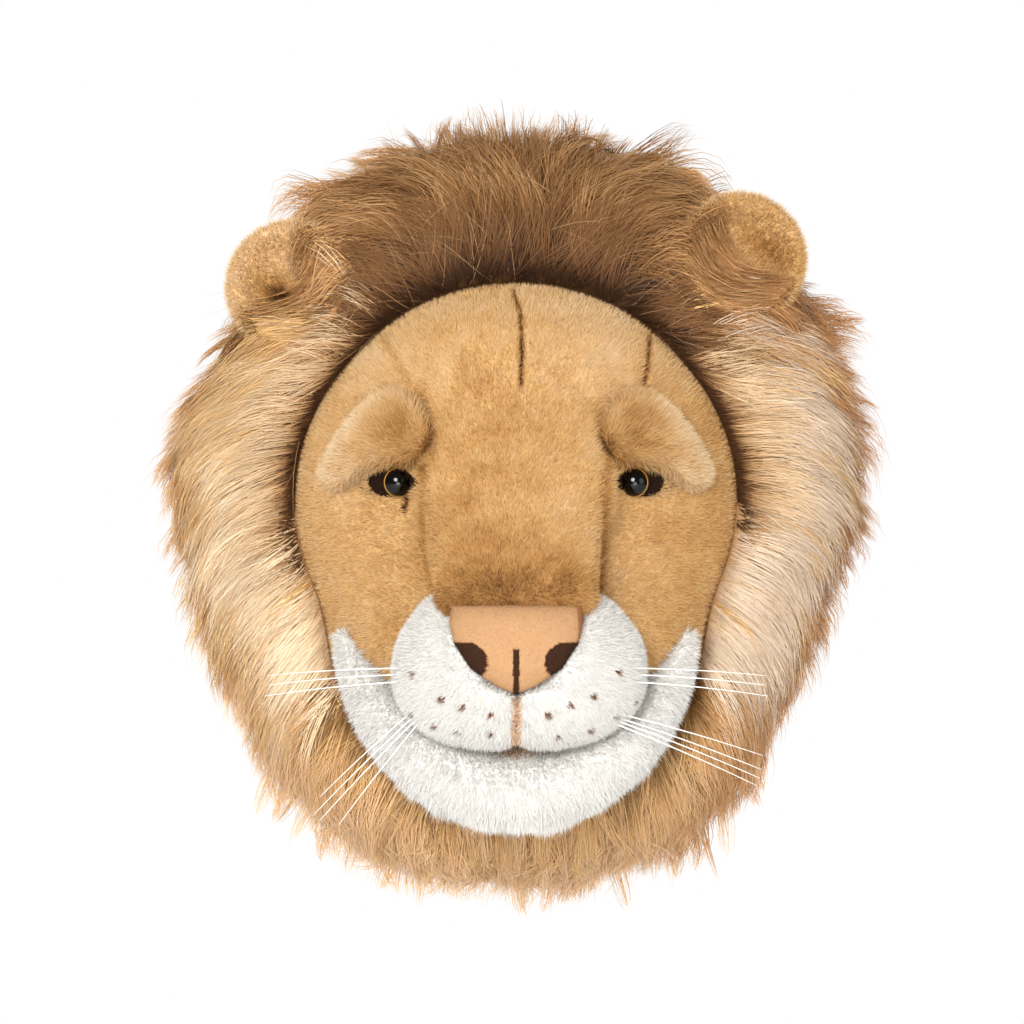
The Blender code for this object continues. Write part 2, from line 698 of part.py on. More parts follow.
def make_ear(name):
    """A round cupped ear, turned a little outwards."""
    x0, forward0, z0, degrees = EAR_PLACES[name]
    side = 1.0 if x0 > 0 else -1.0
    point = math.radians(degrees)
    outward = np.array((math.cos(point), 0.0, math.sin(point)))
    across = np.array((-math.sin(point), 0.0, math.cos(point)))
    facing = np.array((0.0, 1.0, 0.0))
    tilt = EAR_TURN
    outward = outward * math.cos(tilt) - facing * math.sin(tilt)
    normal = np.cross(outward, across) * -1.0
    if normal[1] < 0:
        normal = -normal
    levels = (
        (0.35, -0.5 * EAR_CUP), (0.62, 0.0), (0.84, 0.55 * EAR_THICKNESS), (0.95, 0.52 * EAR_THICKNESS),
        (1.0, 0.2 * EAR_THICKNESS), (0.98, -0.25 * EAR_THICKNESS), (0.80, -0.7 * EAR_THICKNESS),
        (0.45, -0.95 * EAR_THICKNESS - 0.3 * EAR_CUP),
    )
    places = []
    middle = np.array((x0, forward0, z0))
    for share, height in levels:
        for column in range(EAR_SIDES):
            turn = 2.0 * math.pi * column / EAR_SIDES
            along = EAR_HALF_LENGTH * math.cos(turn) * share
            sideways = EAR_HALF_WIDTH * math.sin(turn) * share
            places.append(middle + outward * along + across * sideways + normal * height)
    faces = ring_faces(len(levels), EAR_SIDES)
    faces.append(range(EAR_SIDES))
    faces.append(range((len(levels) - 1) * EAR_SIDES, len(levels) * EAR_SIDES))
    return add_object(name, places, faces, "tan plush")


def make_whisker(name, root, tip, side, pad_tree):
    """One filament from just off the muzzle pad to its tip, sagging a little."""
    far = world((side * tip[0], tip[1], tip[2]))
    aim = world((side * root[0], form_front(MUZZLE_FORM, root[0], root[1]) - 0.004, root[1]))
    hit = pad_tree.ray_cast(far, (aim - far).normalized())
    surface = hit[0] if hit[0] is not None else aim
    start = surface + (far - surface).normalized() * WHISKER_START
    direction = (far - start).normalized()
    flat = direction.cross(Vector((0.0, 0.0, 1.0))).normalized()
    upright = flat.cross(direction)
    places, faces = [], []
    for step in range(WHISKER_STEPS + 1):
        share = step / WHISKER_STEPS
        middle = start.lerp(far, share)
        middle.z += WHISKER_SAG * 4.0 * share * (1.0 - share)
        radius = WHISKER_RADIUS * (1.0 - 0.45 * share)
        for corner in range(WHISKER_SIDES):
            turn = 2.0 * math.pi * corner / WHISKER_SIDES
            place = middle + flat * radius * math.cos(turn) + upright * radius * math.sin(turn)
            places.append((place.x, -place.y, place.z))
    faces = ring_faces(WHISKER_STEPS + 1, WHISKER_SIDES)
    faces.append(range(WHISKER_SIDES))
    faces.append(range(WHISKER_STEPS * WHISKER_SIDES, (WHISKER_STEPS + 1) * WHISKER_SIDES))
    return add_object(name, places, faces, "nylon")


def pad_surface(pad):
    """The pad's outer side, to find where a whisker leaves it."""
    shape = bmesh.new()
    shape.from_mesh(pad.data)
    tree = BVHTree.FromBMesh(shape)
    shape.free()
    return tree


def make_whiskers(pads):
    for side, side_name in ((-1, "left"), (1, "right")):
        tree = pad_surface(pads[side])
        for level in ("upper", "lower"):
            for number, (root, tip) in enumerate(WHISKERS[side_name, level], start=1):
                name = f"whisker_{level}_{side_name}_{number}"
                make_whisker(name, root, tip, side, tree)


def build():
    clear_scene()
    make_back_panel()
    head = make_head()
    mane = make_mane()
    nose = make_nose()
    make_room(nose, [head])
    pads = {}
    for side, side_name in ((-1, "left"), (1, "right")):
        pads[side] = make_muzzle("muzzle_" + side_name, side)
        make_room(pads[side], [head, nose])
        lining = make_eye_lining("eye_lining_" + side_name, side)
        make_room(lining, [head])
        eye = make_eye("eye_" + side_name, side)
        make_room(eye, [head, lining])
        brow = make_brow("brow_" + side_name, side)
        make_room(brow, [head, lining, eye])
    chin = make_chin()
    make_room(chin, [head, pads[-1], pads[1]])
    ears = [make_ear(name) for name in EAR_PLACES]
    make_room(mane, ears)
    make_whiskers(pads)


build()
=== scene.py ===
"""The looks of the plush lion head: stuffed face, long-pile mane, white muzzle and chin.

Units are metres. Inside the functions a place is (x, forward, z), where forward is the
distance from the wall, so the scene's point is (x, -forward, z). Left and right are as seen
from the front. The forms repeat the named sizes of the part's source.
"""

import itertools
import math
from typing import NamedTuple

import bpy
import numpy as np
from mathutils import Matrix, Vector


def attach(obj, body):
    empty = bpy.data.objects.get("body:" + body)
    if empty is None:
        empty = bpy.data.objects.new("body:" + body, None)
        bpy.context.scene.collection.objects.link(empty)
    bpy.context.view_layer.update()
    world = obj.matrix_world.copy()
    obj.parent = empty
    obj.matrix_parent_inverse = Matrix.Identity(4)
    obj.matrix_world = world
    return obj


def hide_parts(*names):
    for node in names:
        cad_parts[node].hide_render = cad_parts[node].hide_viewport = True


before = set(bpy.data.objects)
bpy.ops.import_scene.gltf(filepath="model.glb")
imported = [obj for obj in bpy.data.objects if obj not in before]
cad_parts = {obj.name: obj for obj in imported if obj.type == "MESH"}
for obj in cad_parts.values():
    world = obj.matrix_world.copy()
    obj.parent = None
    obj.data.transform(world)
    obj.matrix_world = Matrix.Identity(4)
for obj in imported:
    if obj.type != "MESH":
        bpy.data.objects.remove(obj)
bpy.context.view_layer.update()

SIDES = {"left": -1, "right": 1}

# Sizes shared with the part
PANEL_THICKNESS = 0.006
NECK_CENTRE_Z = -0.008
NECK_HALF_WIDTH = 0.096
NECK_HALF_HEIGHT = 0.105
HEAD_BACK = PANEL_THICKNESS + 0.0003
SKULL = ((0.0, 0.104, 0.003), (0.1015, 0.066, 0.0965))
JAW = ((0.0, 0.118, -0.056), (0.083, 0.066, 0.070))
FOREHEAD = ((0.0, 0.116, 0.050), (0.066, 0.052, 0.047))
MUZZLE_CORE = ((0.0, 0.163, -0.070), (0.048, 0.046, 0.030))
BRIDGE_TOP = (0.0, 0.142, 0.056)
BRIDGE_STOP = (0.0, 0.164, 0.008)
BRIDGE_END = (0.0, 0.201, -0.0365)
BRIDGE_HALF_WIDTH = (0.0390, 0.0355)
BRIDGE_HALF_HEIGHT = 0.024
FORM_BLEND = 0.012
BRIDGE_BLEND = 0.007
RIM_FORWARD = 0.122
# Room between the head and the mane's hair, the mane's cloth, and the hole for the neck
MANE_GAP = 0.0005
SKIN_GAP = 0.0008
NECK_ROOM = 1.02

MANE_RADII = {
    0: 0.162, 15: 0.166, 30: 0.166, 47: 0.150, 64: 0.173, 90: 0.174, 108: 0.174, 121: 0.172,
    137: 0.148, 155: 0.157, 170: 0.163, 190: 0.157, 212: 0.160, 232: 0.170, 250: 0.176,
    270: 0.175, 290: 0.177, 308: 0.169, 324: 0.156, 340: 0.152,
}
MANE_WIDEST_FORWARD = 0.080
MANE_DOME_FORWARD = 0.143
MANE_DOME_DROP = 0.012
MANE_BACK_HALF_WIDTH = 0.126
MANE_BACK_HALF_HEIGHT = 0.134

CHIN_CENTRE_Z = -0.048
CHIN_SPAN_X = 0.078
CHIN_SPAN_Z = 0.0745
CHIN_TIP_ANGLE = math.radians(80)
CHIN_TIP_FORWARD = 0.140
CHIN_FRONT_FORWARD = 0.177
CHIN_HALF_WIDTH = (0.0045, 0.0205)
CHIN_HALF_DEPTH = (0.006, 0.028)
CHIN_FULL_ANGLE = math.radians(83)
CHIN_POINT = 1.25
CHIN_PILE = 0.0024
CHIN_SHOWN_FORWARD = 0.118

MUZZLE_FORM = ((0.0, 0.150, -0.069), (0.067, 0.087, 0.056))
MUZZLE_OUTLINE = (
    (0.0012, -0.083), (0.0012, -0.1015), (0.017, -0.1045), (0.038, -0.0995), (0.052, -0.088),
    (0.0565, -0.074), (0.0525, -0.056), (0.0365, -0.0405), (0.027, -0.050), (0.0135, -0.0745),
)
MUZZLE_CENTRE = (0.030, -0.076)
MUZZLE_EDGE_DROP = 0.009
MUZZLE_BACK = 0.158
MUZZLE_SHOWN_FORWARD = 0.166
# Dark line between the pads: its half width and its upper end
MUZZLE_LINE = (0.0022, -0.081)
PAD_TRIM = {-1: 0.0042, 1: 0.0012}

NOSE_FORM = ((0.0, 0.170, -0.062), (0.060, 0.070, 0.047))
NOSE_OUTLINE = (
    (0.0, -0.0425), (0.0145, -0.0425), (0.0275, -0.0425), (0.0285, -0.049), (0.0265, -0.0585),
    (0.0195, -0.0690), (0.0085, -0.0765), (0.0, -0.0800),
)
WHOLE_NOSE = (*NOSE_OUTLINE, *((-x, z) for x, z in reversed(NOSE_OUTLINE[1:-1])))
NOSE_CENTRE = (0.0, -0.058)
NOSE_EDGE_DROP = 0.0035
NOSE_BACK = 0.205
NOSE_SHOWN_FORWARD = 0.212
NOSE_LINE = (0.0014, -0.0605)
NOSTRIL_OUTLINE = (
    (0.0270, -0.0585), (0.0235, -0.0578), (0.0175, -0.0585), (0.0130, -0.0625), (0.0122, -0.0680),
    (0.0150, -0.0722), (0.0195, -0.0722), (0.0245, -0.0665),
)

BROW_OUTLINE = (
    (0.0385, 0.0290), (0.0400, 0.0400), (0.0465, 0.0480), (0.0570, 0.0510), (0.0690, 0.0430),
    (0.0800, 0.0290), (0.0865, 0.0145), (0.0800, 0.0085), (0.0680, 0.0150), (0.0560, 0.0185),
    (0.0460, 0.0195),
)
BROW_CENTRE = (0.060, 0.031)
BROW_HEIGHT = 0.0125
BROW_RIM = 0.0030
BROW_SINK = 0.006

EYE_CENTRE = (0.0525, 0.0110)
EYE_RADIUS = 0.0066
EYE_DOME = 0.0055
EYE_RAISE = 0.0022
EYE_SINK = 0.012
# How far the ring of the iris lies off the eye's middle, and the radius at its ramp's end
EYE_RING_SHIFT = (0.0008, 0.0002)
EYE_RING_SPAN = 0.008
LINING_HALF_LENGTH = 0.0150
LINING_HALF_HEIGHT = 0.0062
LINING_CENTRE = (0.0580, 0.0108)
LINING_THICKNESS = 0.0014
LINING_SINK = 0.004

EAR_PLACES = {"ear_left": (-0.1010, 0.112, 0.0995, 137), "ear_right": (0.1010, 0.112, 0.1120, 48)}
EAR_HALF_LENGTH = 0.0300
EAR_HALF_WIDTH = 0.0290
EAR_THICKNESS = 0.0130
EAR_CUP = 0.0090
EAR_TURN = math.radians(16)
# Depth of the cloth behind an ear, and height of the hair over it
EAR_BACK_ROOM = 1.25 * EAR_THICKNESS + 0.002
EAR_HAIR_ROOM = 0.0022

WHISKER_SAG = 0.0007
WHISKER_RADIUS = 0.00034
WHISKER_TAPER = 0.60
WHISKER_SINK = 0.004
UPPER_WHISKERS = (
    ((0.0500, -0.0700), (0.1085, 0.196, -0.0735)),
    ((0.0525, -0.0730), (0.1080, 0.200, -0.0775)),
    ((0.0510, -0.0760), (0.1090, 0.204, -0.0820)),
)
LOWER_WHISKERS_RIGHT = (
    ((0.0470, -0.0905), (0.1075, 0.190, -0.1085)),
    ((0.0455, -0.0920), (0.1070, 0.194, -0.1145)),
    ((0.0440, -0.0930), (0.1060, 0.198, -0.1180)),
    ((0.0425, -0.0940), (0.1045, 0.202, -0.1210)),
)
LOWER_WHISKERS_LEFT = (
    ((0.0470, -0.0905), (0.0860, 0.188, -0.1270)),
    ((0.0455, -0.0920), (0.0885, 0.193, -0.1345)),
    ((0.0440, -0.0930), (0.0855, 0.198, -0.1365)),
    ((0.0425, -0.0940), (0.0770, 0.203, -0.1380)),
)
WHISKERS = {
    ("left", "upper"): UPPER_WHISKERS, ("left", "lower"): LOWER_WHISKERS_LEFT,
    ("right", "upper"): UPPER_WHISKERS, ("right", "lower"): LOWER_WHISKERS_RIGHT,
}

# Sewn seams of the face and creases down the bridge's edges, as (x, z), with how dark the line is: at 1.0
# the seams' own dark thread line; the faint lines run mostly down the bridge's edges, where their darkness
# is painted shade in the creases
SEAMS_AND_SHADED_CREASES = (
    (((-0.0014, 0.0957), (0.0017, 0.0869), (0.0026, 0.0692), (0.0022, 0.0525)), 1.0),
    (((0.0596, 0.0759), (0.0578, 0.0604), (0.0561, 0.0494)), 1.0),
    (((0.0561, 0.0494), (0.0402, 0.0339), (0.0393, 0.0118), (0.0369, -0.0234), (0.0360, -0.0366)), 0.45),
    (((-0.0591, 0.0741), (-0.0402, 0.0450), (-0.0362, 0.0295), (-0.0402, 0.0162)), 0.25),
    (((-0.0402, 0.0162), (-0.0400, -0.0234), (-0.0334, -0.0410)), 0.25),
)
TEAR_LINE = ((-0.0468, 0.0085), (-0.0490, -0.0022))
# Edge of the pile over an eye's lining, and middle and half sizes of what it leaves in view
LID_LINE = ((0.0708, 0.0094), (0.0527, 0.0204))
SHOWN_LINING = ((0.0560, 0.0118), (0.0090, 0.0074))
# Middle and half length of the bare part of the head behind a lining
BARE_LINING = (0.0535, 0.0108)
SEAM_DEPTH = 0.0016
SEAM_WIDTH = 0.0013
# Widths of the darkening along a dark seam and of the painted crease shade along a faint line, and along the
# line at the eye
DARK_SHADE = 0.0011
FAINT_SHADE = 0.0024
TEAR_SHADE = 0.0009

# Embroidered dots of the muzzle, as (x, z)
DOTS = (
    (-0.0440, -0.0715), (-0.0316, -0.0822), (-0.0225, -0.0856), (-0.0106, -0.0887),
    (-0.0452, -0.0897), (-0.0347, -0.0949), (-0.0247, -0.0971), (-0.0106, -0.0971),
    (0.0434, -0.0710), (0.0325, -0.0810), (0.0229, -0.0845), (0.0132, -0.0888),
    (0.0518, -0.0845), (0.0430, -0.0910), (0.0316, -0.0962), (0.0172, -0.0988),
)
DOT_RADIUS = 0.0014
DOT_DEPTH = 0.003


def linear(colour):
    """An sRGB colour from 0 to 255 as the linear values a shader takes."""
    scaled = [c / 255.0 for c in colour]
    return tuple(c / 12.92 if c <= 0.04045 else ((c + 0.055) / 1.055) ** 2.4 for c in scaled)


def step_softly(value, low, high):
    share = np.clip((value - low) / (high - low), 0.0, 1.0)
    return share * share * (3.0 - 2.0 * share)


def unit(vectors):
    return vectors / np.maximum(np.linalg.norm(vectors, axis=-1, keepdims=True), 1e-12)


def between(pair, share):
    """The value at a share of the way from the first of a pair to the second."""
    return pair[0] + (pair[1] - pair[0]) * share


def full_turn(count):
    """Evenly spread directions, once round."""
    return np.linspace(0.0, 2.0 * math.pi, count, endpoint=False)


def level_ring(x, forward, z):
    """Places at one distance from the wall."""
    return np.stack([x, np.full_like(x, forward), z], axis=1)


def moved_to(ring, forward):
    return level_ring(ring[:, 0], forward, ring[:, 2])


def only(kept, *arrays):
    return [array[kept] for array in arrays]


# Forms of the stuffed head, as in the part


def ellipsoid(points, form):
    centre, half = np.array(form[0]), np.array(form[1])
    scaled = (points - centre) / half
    size = np.linalg.norm(scaled, axis=-1)
    slope = np.linalg.norm(scaled / half, axis=-1)
    return size * (size - 1.0) / np.maximum(slope, 1e-9)


def bar(points, start, end, half_widths, half_height):
    start, end = np.array(start), np.array(end)
    axis = end - start
    length = np.linalg.norm(axis)
    axis = axis / length
    upward = np.array((0.0, -axis[2], axis[1]))
    offset = points - start
    along = offset @ axis
    beyond = along - np.clip(along, 0.0, length)
    share = np.clip(along / length, 0.0, 1.0)
    across = np.abs(offset[..., 0]) / between(half_widths, share)
    height = np.abs(offset @ upward) / half_height
    past = np.abs(beyond) / half_height
    return ((across**3 + height**3 + past**3) ** (1.0 / 3.0) - 1.0) * half_height


def neck(points):
    across = points[..., 0] / NECK_HALF_WIDTH
    height = (points[..., 2] - NECK_CENTRE_Z) / NECK_HALF_HEIGHT
    side = (np.sqrt(across**2 + height**2) - 1.0) * NECK_HALF_WIDTH
    return np.maximum(side, points[..., 1] - SKULL[0][1])


def join_softly(first, second, blend):
    overlap = np.maximum(blend - np.abs(first - second), 0.0) / blend
    return np.minimum(first, second) - overlap * overlap * blend / 4.0


def head_distance(points):
    total = ellipsoid(points, SKULL)
    for form in (JAW, FOREHEAD, MUZZLE_CORE):
        total = join_softly(total, ellipsoid(points, form), FORM_BLEND)
    total = join_softly(total, neck(points), FORM_BLEND)
    upper_widths = (BRIDGE_HALF_WIDTH[0], BRIDGE_HALF_WIDTH[0])
    upper = bar(points, BRIDGE_TOP, BRIDGE_STOP, upper_widths, BRIDGE_HALF_HEIGHT)
    lower = bar(points, BRIDGE_STOP, BRIDGE_END, BRIDGE_HALF_WIDTH, BRIDGE_HALF_HEIGHT)
    return join_softly(total, join_softly(upper, lower, FORM_BLEND), BRIDGE_BLEND)


def outer_crossing(distance, origins, directions, reach=0.30, steps=100):
    """How far along each ray the surface lies, seen from outside."""
    near = np.zeros(len(origins))
    far = np.full(len(origins), reach)
    found = np.zeros(len(origins), dtype=bool)
    for step in range(steps, 0, -1):
        here = reach * (step - 1) / steps
        inside = distance(origins + directions * here) < 0.0
        fresh = inside & ~found
        near[fresh] = here
        far[fresh] = reach * step / steps
        found |= inside
    for _ in range(16):
        middle = 0.5 * (near + far)
        inside = distance(origins + directions * middle[:, None]) < 0.0
        near = np.where(inside, middle, near)
        far = np.where(inside, far, middle)
    return near


def head_front(x, z):
    """How far from the wall the head's front lies at each (x, z)."""
    x, z = np.broadcast_arrays(np.asarray(x, float), np.asarray(z, float))
    origins = np.stack([x.ravel(), np.zeros(x.size), z.ravel()], axis=1)
    forward = np.tile((0.0, 1.0, 0.0), (x.size, 1))
    return outer_crossing(head_distance, origins, forward).reshape(x.shape)


def form_front(form, x, z):
    centre, half = form
    left = 1.0 - ((x - centre[0]) / half[0]) ** 2 - ((z - centre[2]) / half[2]) ** 2
    return centre[1] + half[1] * np.sqrt(np.maximum(left, 0.02))


# Skins: closed surfaces as (places, triangles)


def grid_triangles(rows, columns):
    row, column = np.meshgrid(np.arange(rows - 1), np.arange(columns), indexing="ij")
    a, b = row * columns + column, row * columns + (column + 1) % columns
    c, d = b + columns, a + columns
    return np.concatenate([np.stack(corners, -1).reshape(-1, 3) for corners in ((a, b, c), (a, c, d))])


def fan_triangles(middle, ring):
    return np.stack([np.full(len(ring), middle), ring, np.roll(ring, -1)], axis=1)


def outward(places, triangles):
    """The triangles, turned so that a closed skin's volume is positive."""
    corners = places[triangles]
    volume = np.einsum("ij,ij->i", corners[:, 0], np.cross(corners[:, 1], corners[:, 2])).sum()
    return triangles if volume > 0 else triangles[:, ::-1]


def closed_skin(rows, first_middle, last_middle):
    """A skin from rings of places, closed by a point at each end."""
    columns = len(rows[0])
    places = np.concatenate([np.concatenate(rows), [first_middle, last_middle]])
    count = len(rows) * columns
    first = np.arange(columns)
    last = np.arange(count - columns, count)
    triangles = np.concatenate([
        grid_triangles(len(rows), columns),
        fan_triangles(count, first)[:, ::-1],
        fan_triangles(count + 1, last),
    ])
    return places, outward(places, triangles)


def squares(corners):
    """A vector square to each triangle, as long as twice its area."""
    return np.cross(corners[:, 1] - corners[:, 0], corners[:, 2] - corners[:, 0])


def vertex_normals(places, triangles):
    faces = squares(places[triangles])
    normals = np.zeros_like(places)
    for corner in range(3):
        np.add.at(normals, triangles[:, corner], faces)
    return unit(normals)


def smooth_outline(points, copies):
    """A closed outline through the points, rounded between them."""
    here = np.array(points)
    before, after, beyond = np.roll(here, 1, 0), np.roll(here, -1, 0), np.roll(here, -2, 0)
    parts = []
    for part in range(copies):
        t = part / copies
        first = 2.0 * here + (after - before) * t
        second = (2.0 * before - 5.0 * here + 4.0 * after - beyond) * t * t
        third = (3.0 * here - before - 3.0 * after + beyond) * t**3
        parts.append(0.5 * (first + second + third))
    return np.stack(parts, axis=1).reshape(-1, 2)


def straight_outline(points, copies):
    """A closed outline through the points, with extra ones on its straight sides."""
    here = np.array(points)
    after = np.roll(here, -1, 0)
    parts = [here + (after - here) * part / copies for part in range(copies)]
    return np.stack(parts, axis=1).reshape(-1, 2)


def mirrored(points, side):
    return [(side * x, z) for x, z in points]


def inside_outline(x, z, outline):
    """Which of the points lie inside a closed outline."""
    inside = np.zeros(np.shape(x), dtype=bool)
    for (x1, z1), (x2, z2) in zip(outline, np.roll(outline, -1, 0)):
        if z1 != z2:
            crosses = (z1 > z) != (z2 > z)
            inside ^= crosses & (x < (x2 - x1) * (z - z1) / (z2 - z1) + x1)
    return inside


def line_distance(x, z, points):
    """Distance in the picture plane from an open line of points."""
    best = np.full(np.shape(x), 1.0)
    for (x1, z1), (x2, z2) in zip(points[:-1], points[1:]):
        dx, dz = x2 - x1, z2 - z1
        share = np.clip(((x - x1) * dx + (z - z1) * dz) / (dx * dx + dz * dz), 0.0, 1.0)
        best = np.minimum(best, np.hypot(x - x1 - share * dx, z - z1 - share * dz))
    return best


def outline_distance(x, z, outline):
    return line_distance(x, z, list(outline) + [outline[0]])


def seam_depth(places):
    """How deep the sewn seams and the creases down the bridge's edges draw the face in at each place."""
    x, forward, z = places.T
    depth = np.max([line_shade(x, z, line, SEAM_WIDTH) for line, _ in SEAMS_AND_SHADED_CREASES], axis=0)
    return np.where(forward > RIM_FORWARD, depth * SEAM_DEPTH, 0.0)


HEAD_COLUMNS = 192
HEAD_CAP_ROWS = 54
HEAD_CAP_ANGLE = 68
HEAD_SECTIONS = (0.132, 0.122, 0.112, 0.100, 0.086, 0.070, 0.052, 0.034, 0.016)


def head_ring(turns, forward, flat=1.0, ahead=0.0):
    """The head's surface along rays out from its middle line at a distance from the wall."""
    origins = np.tile((0.0, forward, NECK_CENTRE_Z), (len(turns), 1))
    rays = np.stack([np.cos(turns) * flat, np.full_like(turns, ahead), np.sin(turns) * flat], axis=1)
    return origins + rays * outer_crossing(head_distance, origins, rays)[:, None]


def head_skin():
    turns = full_turn(HEAD_COLUMNS)
    leans = np.radians(np.linspace(0.0, HEAD_CAP_ANGLE, HEAD_CAP_ROWS + 1)[1:])
    rows = [head_ring(turns, SKULL[0][1], math.sin(lean), math.cos(lean)) for lean in leans]
    rows += [head_ring(turns, forward) for forward in HEAD_SECTIONS]
    rows.append(moved_to(rows[-1], HEAD_BACK))
    tip = (0.0, float(head_front(0.0, NECK_CENTRE_Z)), NECK_CENTRE_Z)
    return closed_skin(rows, tip, (0.0, HEAD_BACK, NECK_CENTRE_Z))


def pad_skin(outline, centre, front, back, rows):
    """A crowned pad over an outline, closed behind. front(x, z, share), back(x, z)."""
    centre = np.array(centre)
    rings = []
    for share in np.linspace(0.0, 1.0, rows + 1)[1:]:
        x, z = (centre + (outline - centre) * share).T
        rings.append(level_ring(x, front(x, z, share), z))
    edge = rings[-1]
    behind = back(edge[:, 0], edge[:, 2])
    rings += [moved_to(edge, between((edge[:, 1], behind), share)) for share in (0.3, 0.65, 1.0)]
    middle = (centre[0], float(np.ravel(front(centre[0], centre[1], 0.0))[0]), centre[1])
    return closed_skin(rings, middle, (centre[0], float(behind.mean()), centre[1]))


def flat_back(forward):
    return lambda x, z: np.full_like(x, forward)


def sunk_back(depth):
    """The back of a pad that lies a depth under the head's front."""
    return lambda x, z: head_front(x, z) - depth


def crown(share, power):
    """Height of a rounded crown: 1 in the middle, 0 at the edge."""
    return math.sqrt(max(1.0 - share**power, 0.0))


def rounded_edge(share, drop, power=3.0):
    return drop * (1.0 - crown(share, power))


def muzzle_skin(side):
    outline = smooth_outline(mirrored(MUZZLE_OUTLINE, side), 10)
    out = side * outline[:, 0]
    out = np.maximum(out, 0.0006) - PAD_TRIM[side] * step_softly(out, 0.030, 0.056)
    outline[:, 0] = side * out
    outline[:, 1] += 0.0010 * step_softly(-outline[:, 1], 0.090, 0.100)

    def front(x, z, share):
        return form_front(MUZZLE_FORM, x, z) - rounded_edge(share, MUZZLE_EDGE_DROP)

    centre = (side * MUZZLE_CENTRE[0], MUZZLE_CENTRE[1])
    return pad_skin(outline, centre, front, flat_back(MUZZLE_BACK), 22)


def nose_skin():
    def front(x, z, share):
        return form_front(NOSE_FORM, x, z) - rounded_edge(share, NOSE_EDGE_DROP, 5.0)

    return pad_skin(straight_outline(WHOLE_NOSE, 8), NOSE_CENTRE, front, flat_back(NOSE_BACK), 26)


def brow_skin(side):
    outline = smooth_outline(mirrored(BROW_OUTLINE, side), 8)

    def front(x, z, share):
        return head_front(x, z) + BROW_RIM + BROW_HEIGHT * crown(share, 2.2)

    centre = (side * BROW_CENTRE[0], BROW_CENTRE[1])
    return pad_skin(outline, centre, front, sunk_back(BROW_SINK), 16)


def lining_skin(side):
    turns = full_turn(40)
    height = np.abs(np.sin(turns)) ** 1.4 * np.sign(np.sin(turns))
    x = side * (LINING_CENTRE[0] + LINING_HALF_LENGTH * np.cos(turns))
    outline = np.stack([x, LINING_CENTRE[1] + LINING_HALF_HEIGHT * height], axis=1)
    centre = (side * LINING_CENTRE[0], LINING_CENTRE[1])

    def front(x, z, share):
        return head_front(x, z) + LINING_THICKNESS * crown(share, 4)

    return pad_skin(outline, centre, front, sunk_back(LINING_SINK), 8)


def chin_skin():
    turns = full_turn(36)
    rows = []
    for along in np.linspace(-1.0, 1.0, 90):
        angle = along * CHIN_TIP_ANGLE
        fullness = max(math.cos(angle * math.radians(90) / CHIN_FULL_ANGLE), 0.0)
        middle = np.array((
            CHIN_SPAN_X * math.sin(angle),
            between((CHIN_TIP_FORWARD, CHIN_FRONT_FORWARD), fullness),
            CHIN_CENTRE_Z - CHIN_SPAN_Z * math.cos(angle) ** CHIN_POINT,
        ))
        away = np.array((math.sin(angle), 0.0, -math.cos(angle)))
        row = middle + away * ((between(CHIN_HALF_WIDTH, fullness) - CHIN_PILE) * np.cos(turns))[:, None]
        row[:, 1] += (between(CHIN_HALF_DEPTH, fullness) - 0.5 * CHIN_PILE) * np.sin(turns)
        rows.append(row)
    return closed_skin(rows, rows[0].mean(0), rows[-1].mean(0))


def ear_axes(name):
    """The ear's middle, and the directions outward, across and out of its cup."""
    x, forward, z, degrees = EAR_PLACES[name]
    point = math.radians(degrees)
    across = np.array((-math.sin(point), 0.0, math.cos(point)))
    flat_way = np.array((math.cos(point), 0.0, math.sin(point)))
    outward_way = flat_way * math.cos(EAR_TURN) - np.array((0.0, 1.0, 0.0)) * math.sin(EAR_TURN)
    normal = -np.cross(outward_way, across)
    if normal[1] < 0:
        normal = -normal
    return np.array((x, forward, z)), outward_way, across, normal


def ear_place(points, name):
    """Where points lie by an ear: along and across it in half sizes, and how far out of its cup."""
    middle, outward_way, across, normal = ear_axes(name)
    offset = points - middle
    return offset @ outward_way / EAR_HALF_LENGTH, offset @ across / EAR_HALF_WIDTH, offset @ normal


EAR_LEVELS = (
    (0.12, -0.62 * EAR_CUP), (0.22, -0.58 * EAR_CUP), (0.35, -0.46 * EAR_CUP), (0.50, -0.22 * EAR_CUP),
    (0.62, 0.0), (0.72, 0.26 * EAR_THICKNESS), (0.80, 0.46 * EAR_THICKNESS), (0.87, 0.56 * EAR_THICKNESS),
    (0.93, 0.54 * EAR_THICKNESS), (0.975, 0.38 * EAR_THICKNESS), (1.0, 0.12 * EAR_THICKNESS),
    (0.99, -0.18 * EAR_THICKNESS), (0.94, -0.45 * EAR_THICKNESS), (0.80, -0.72 * EAR_THICKNESS),
    (0.62, -1.0 * EAR_THICKNESS), (0.40, -1.15 * EAR_THICKNESS), (0.20, -1.2 * EAR_THICKNESS),
)
EAR_FRONT_SHARES, EAR_FRONT_HEIGHTS = zip(*EAR_LEVELS[:11])


def ear_skin(name):
    middle, outward_way, across, normal = ear_axes(name)
    turns = full_turn(64)
    rows = []
    for share, height in EAR_LEVELS:
        along = EAR_HALF_LENGTH * share * np.cos(turns)[:, None] * outward_way
        sideways = EAR_HALF_WIDTH * share * np.sin(turns)[:, None] * across
        rows.append(middle + along + sideways + normal * height)
    return closed_skin(rows, middle + normal * EAR_LEVELS[0][1], middle + normal * EAR_LEVELS[-1][1])


# The mane's envelope

MANE_STOPS = np.array(sorted(MANE_RADII), float)
STOP_RADII = np.array([MANE_RADII[stop] for stop in sorted(MANE_RADII)])


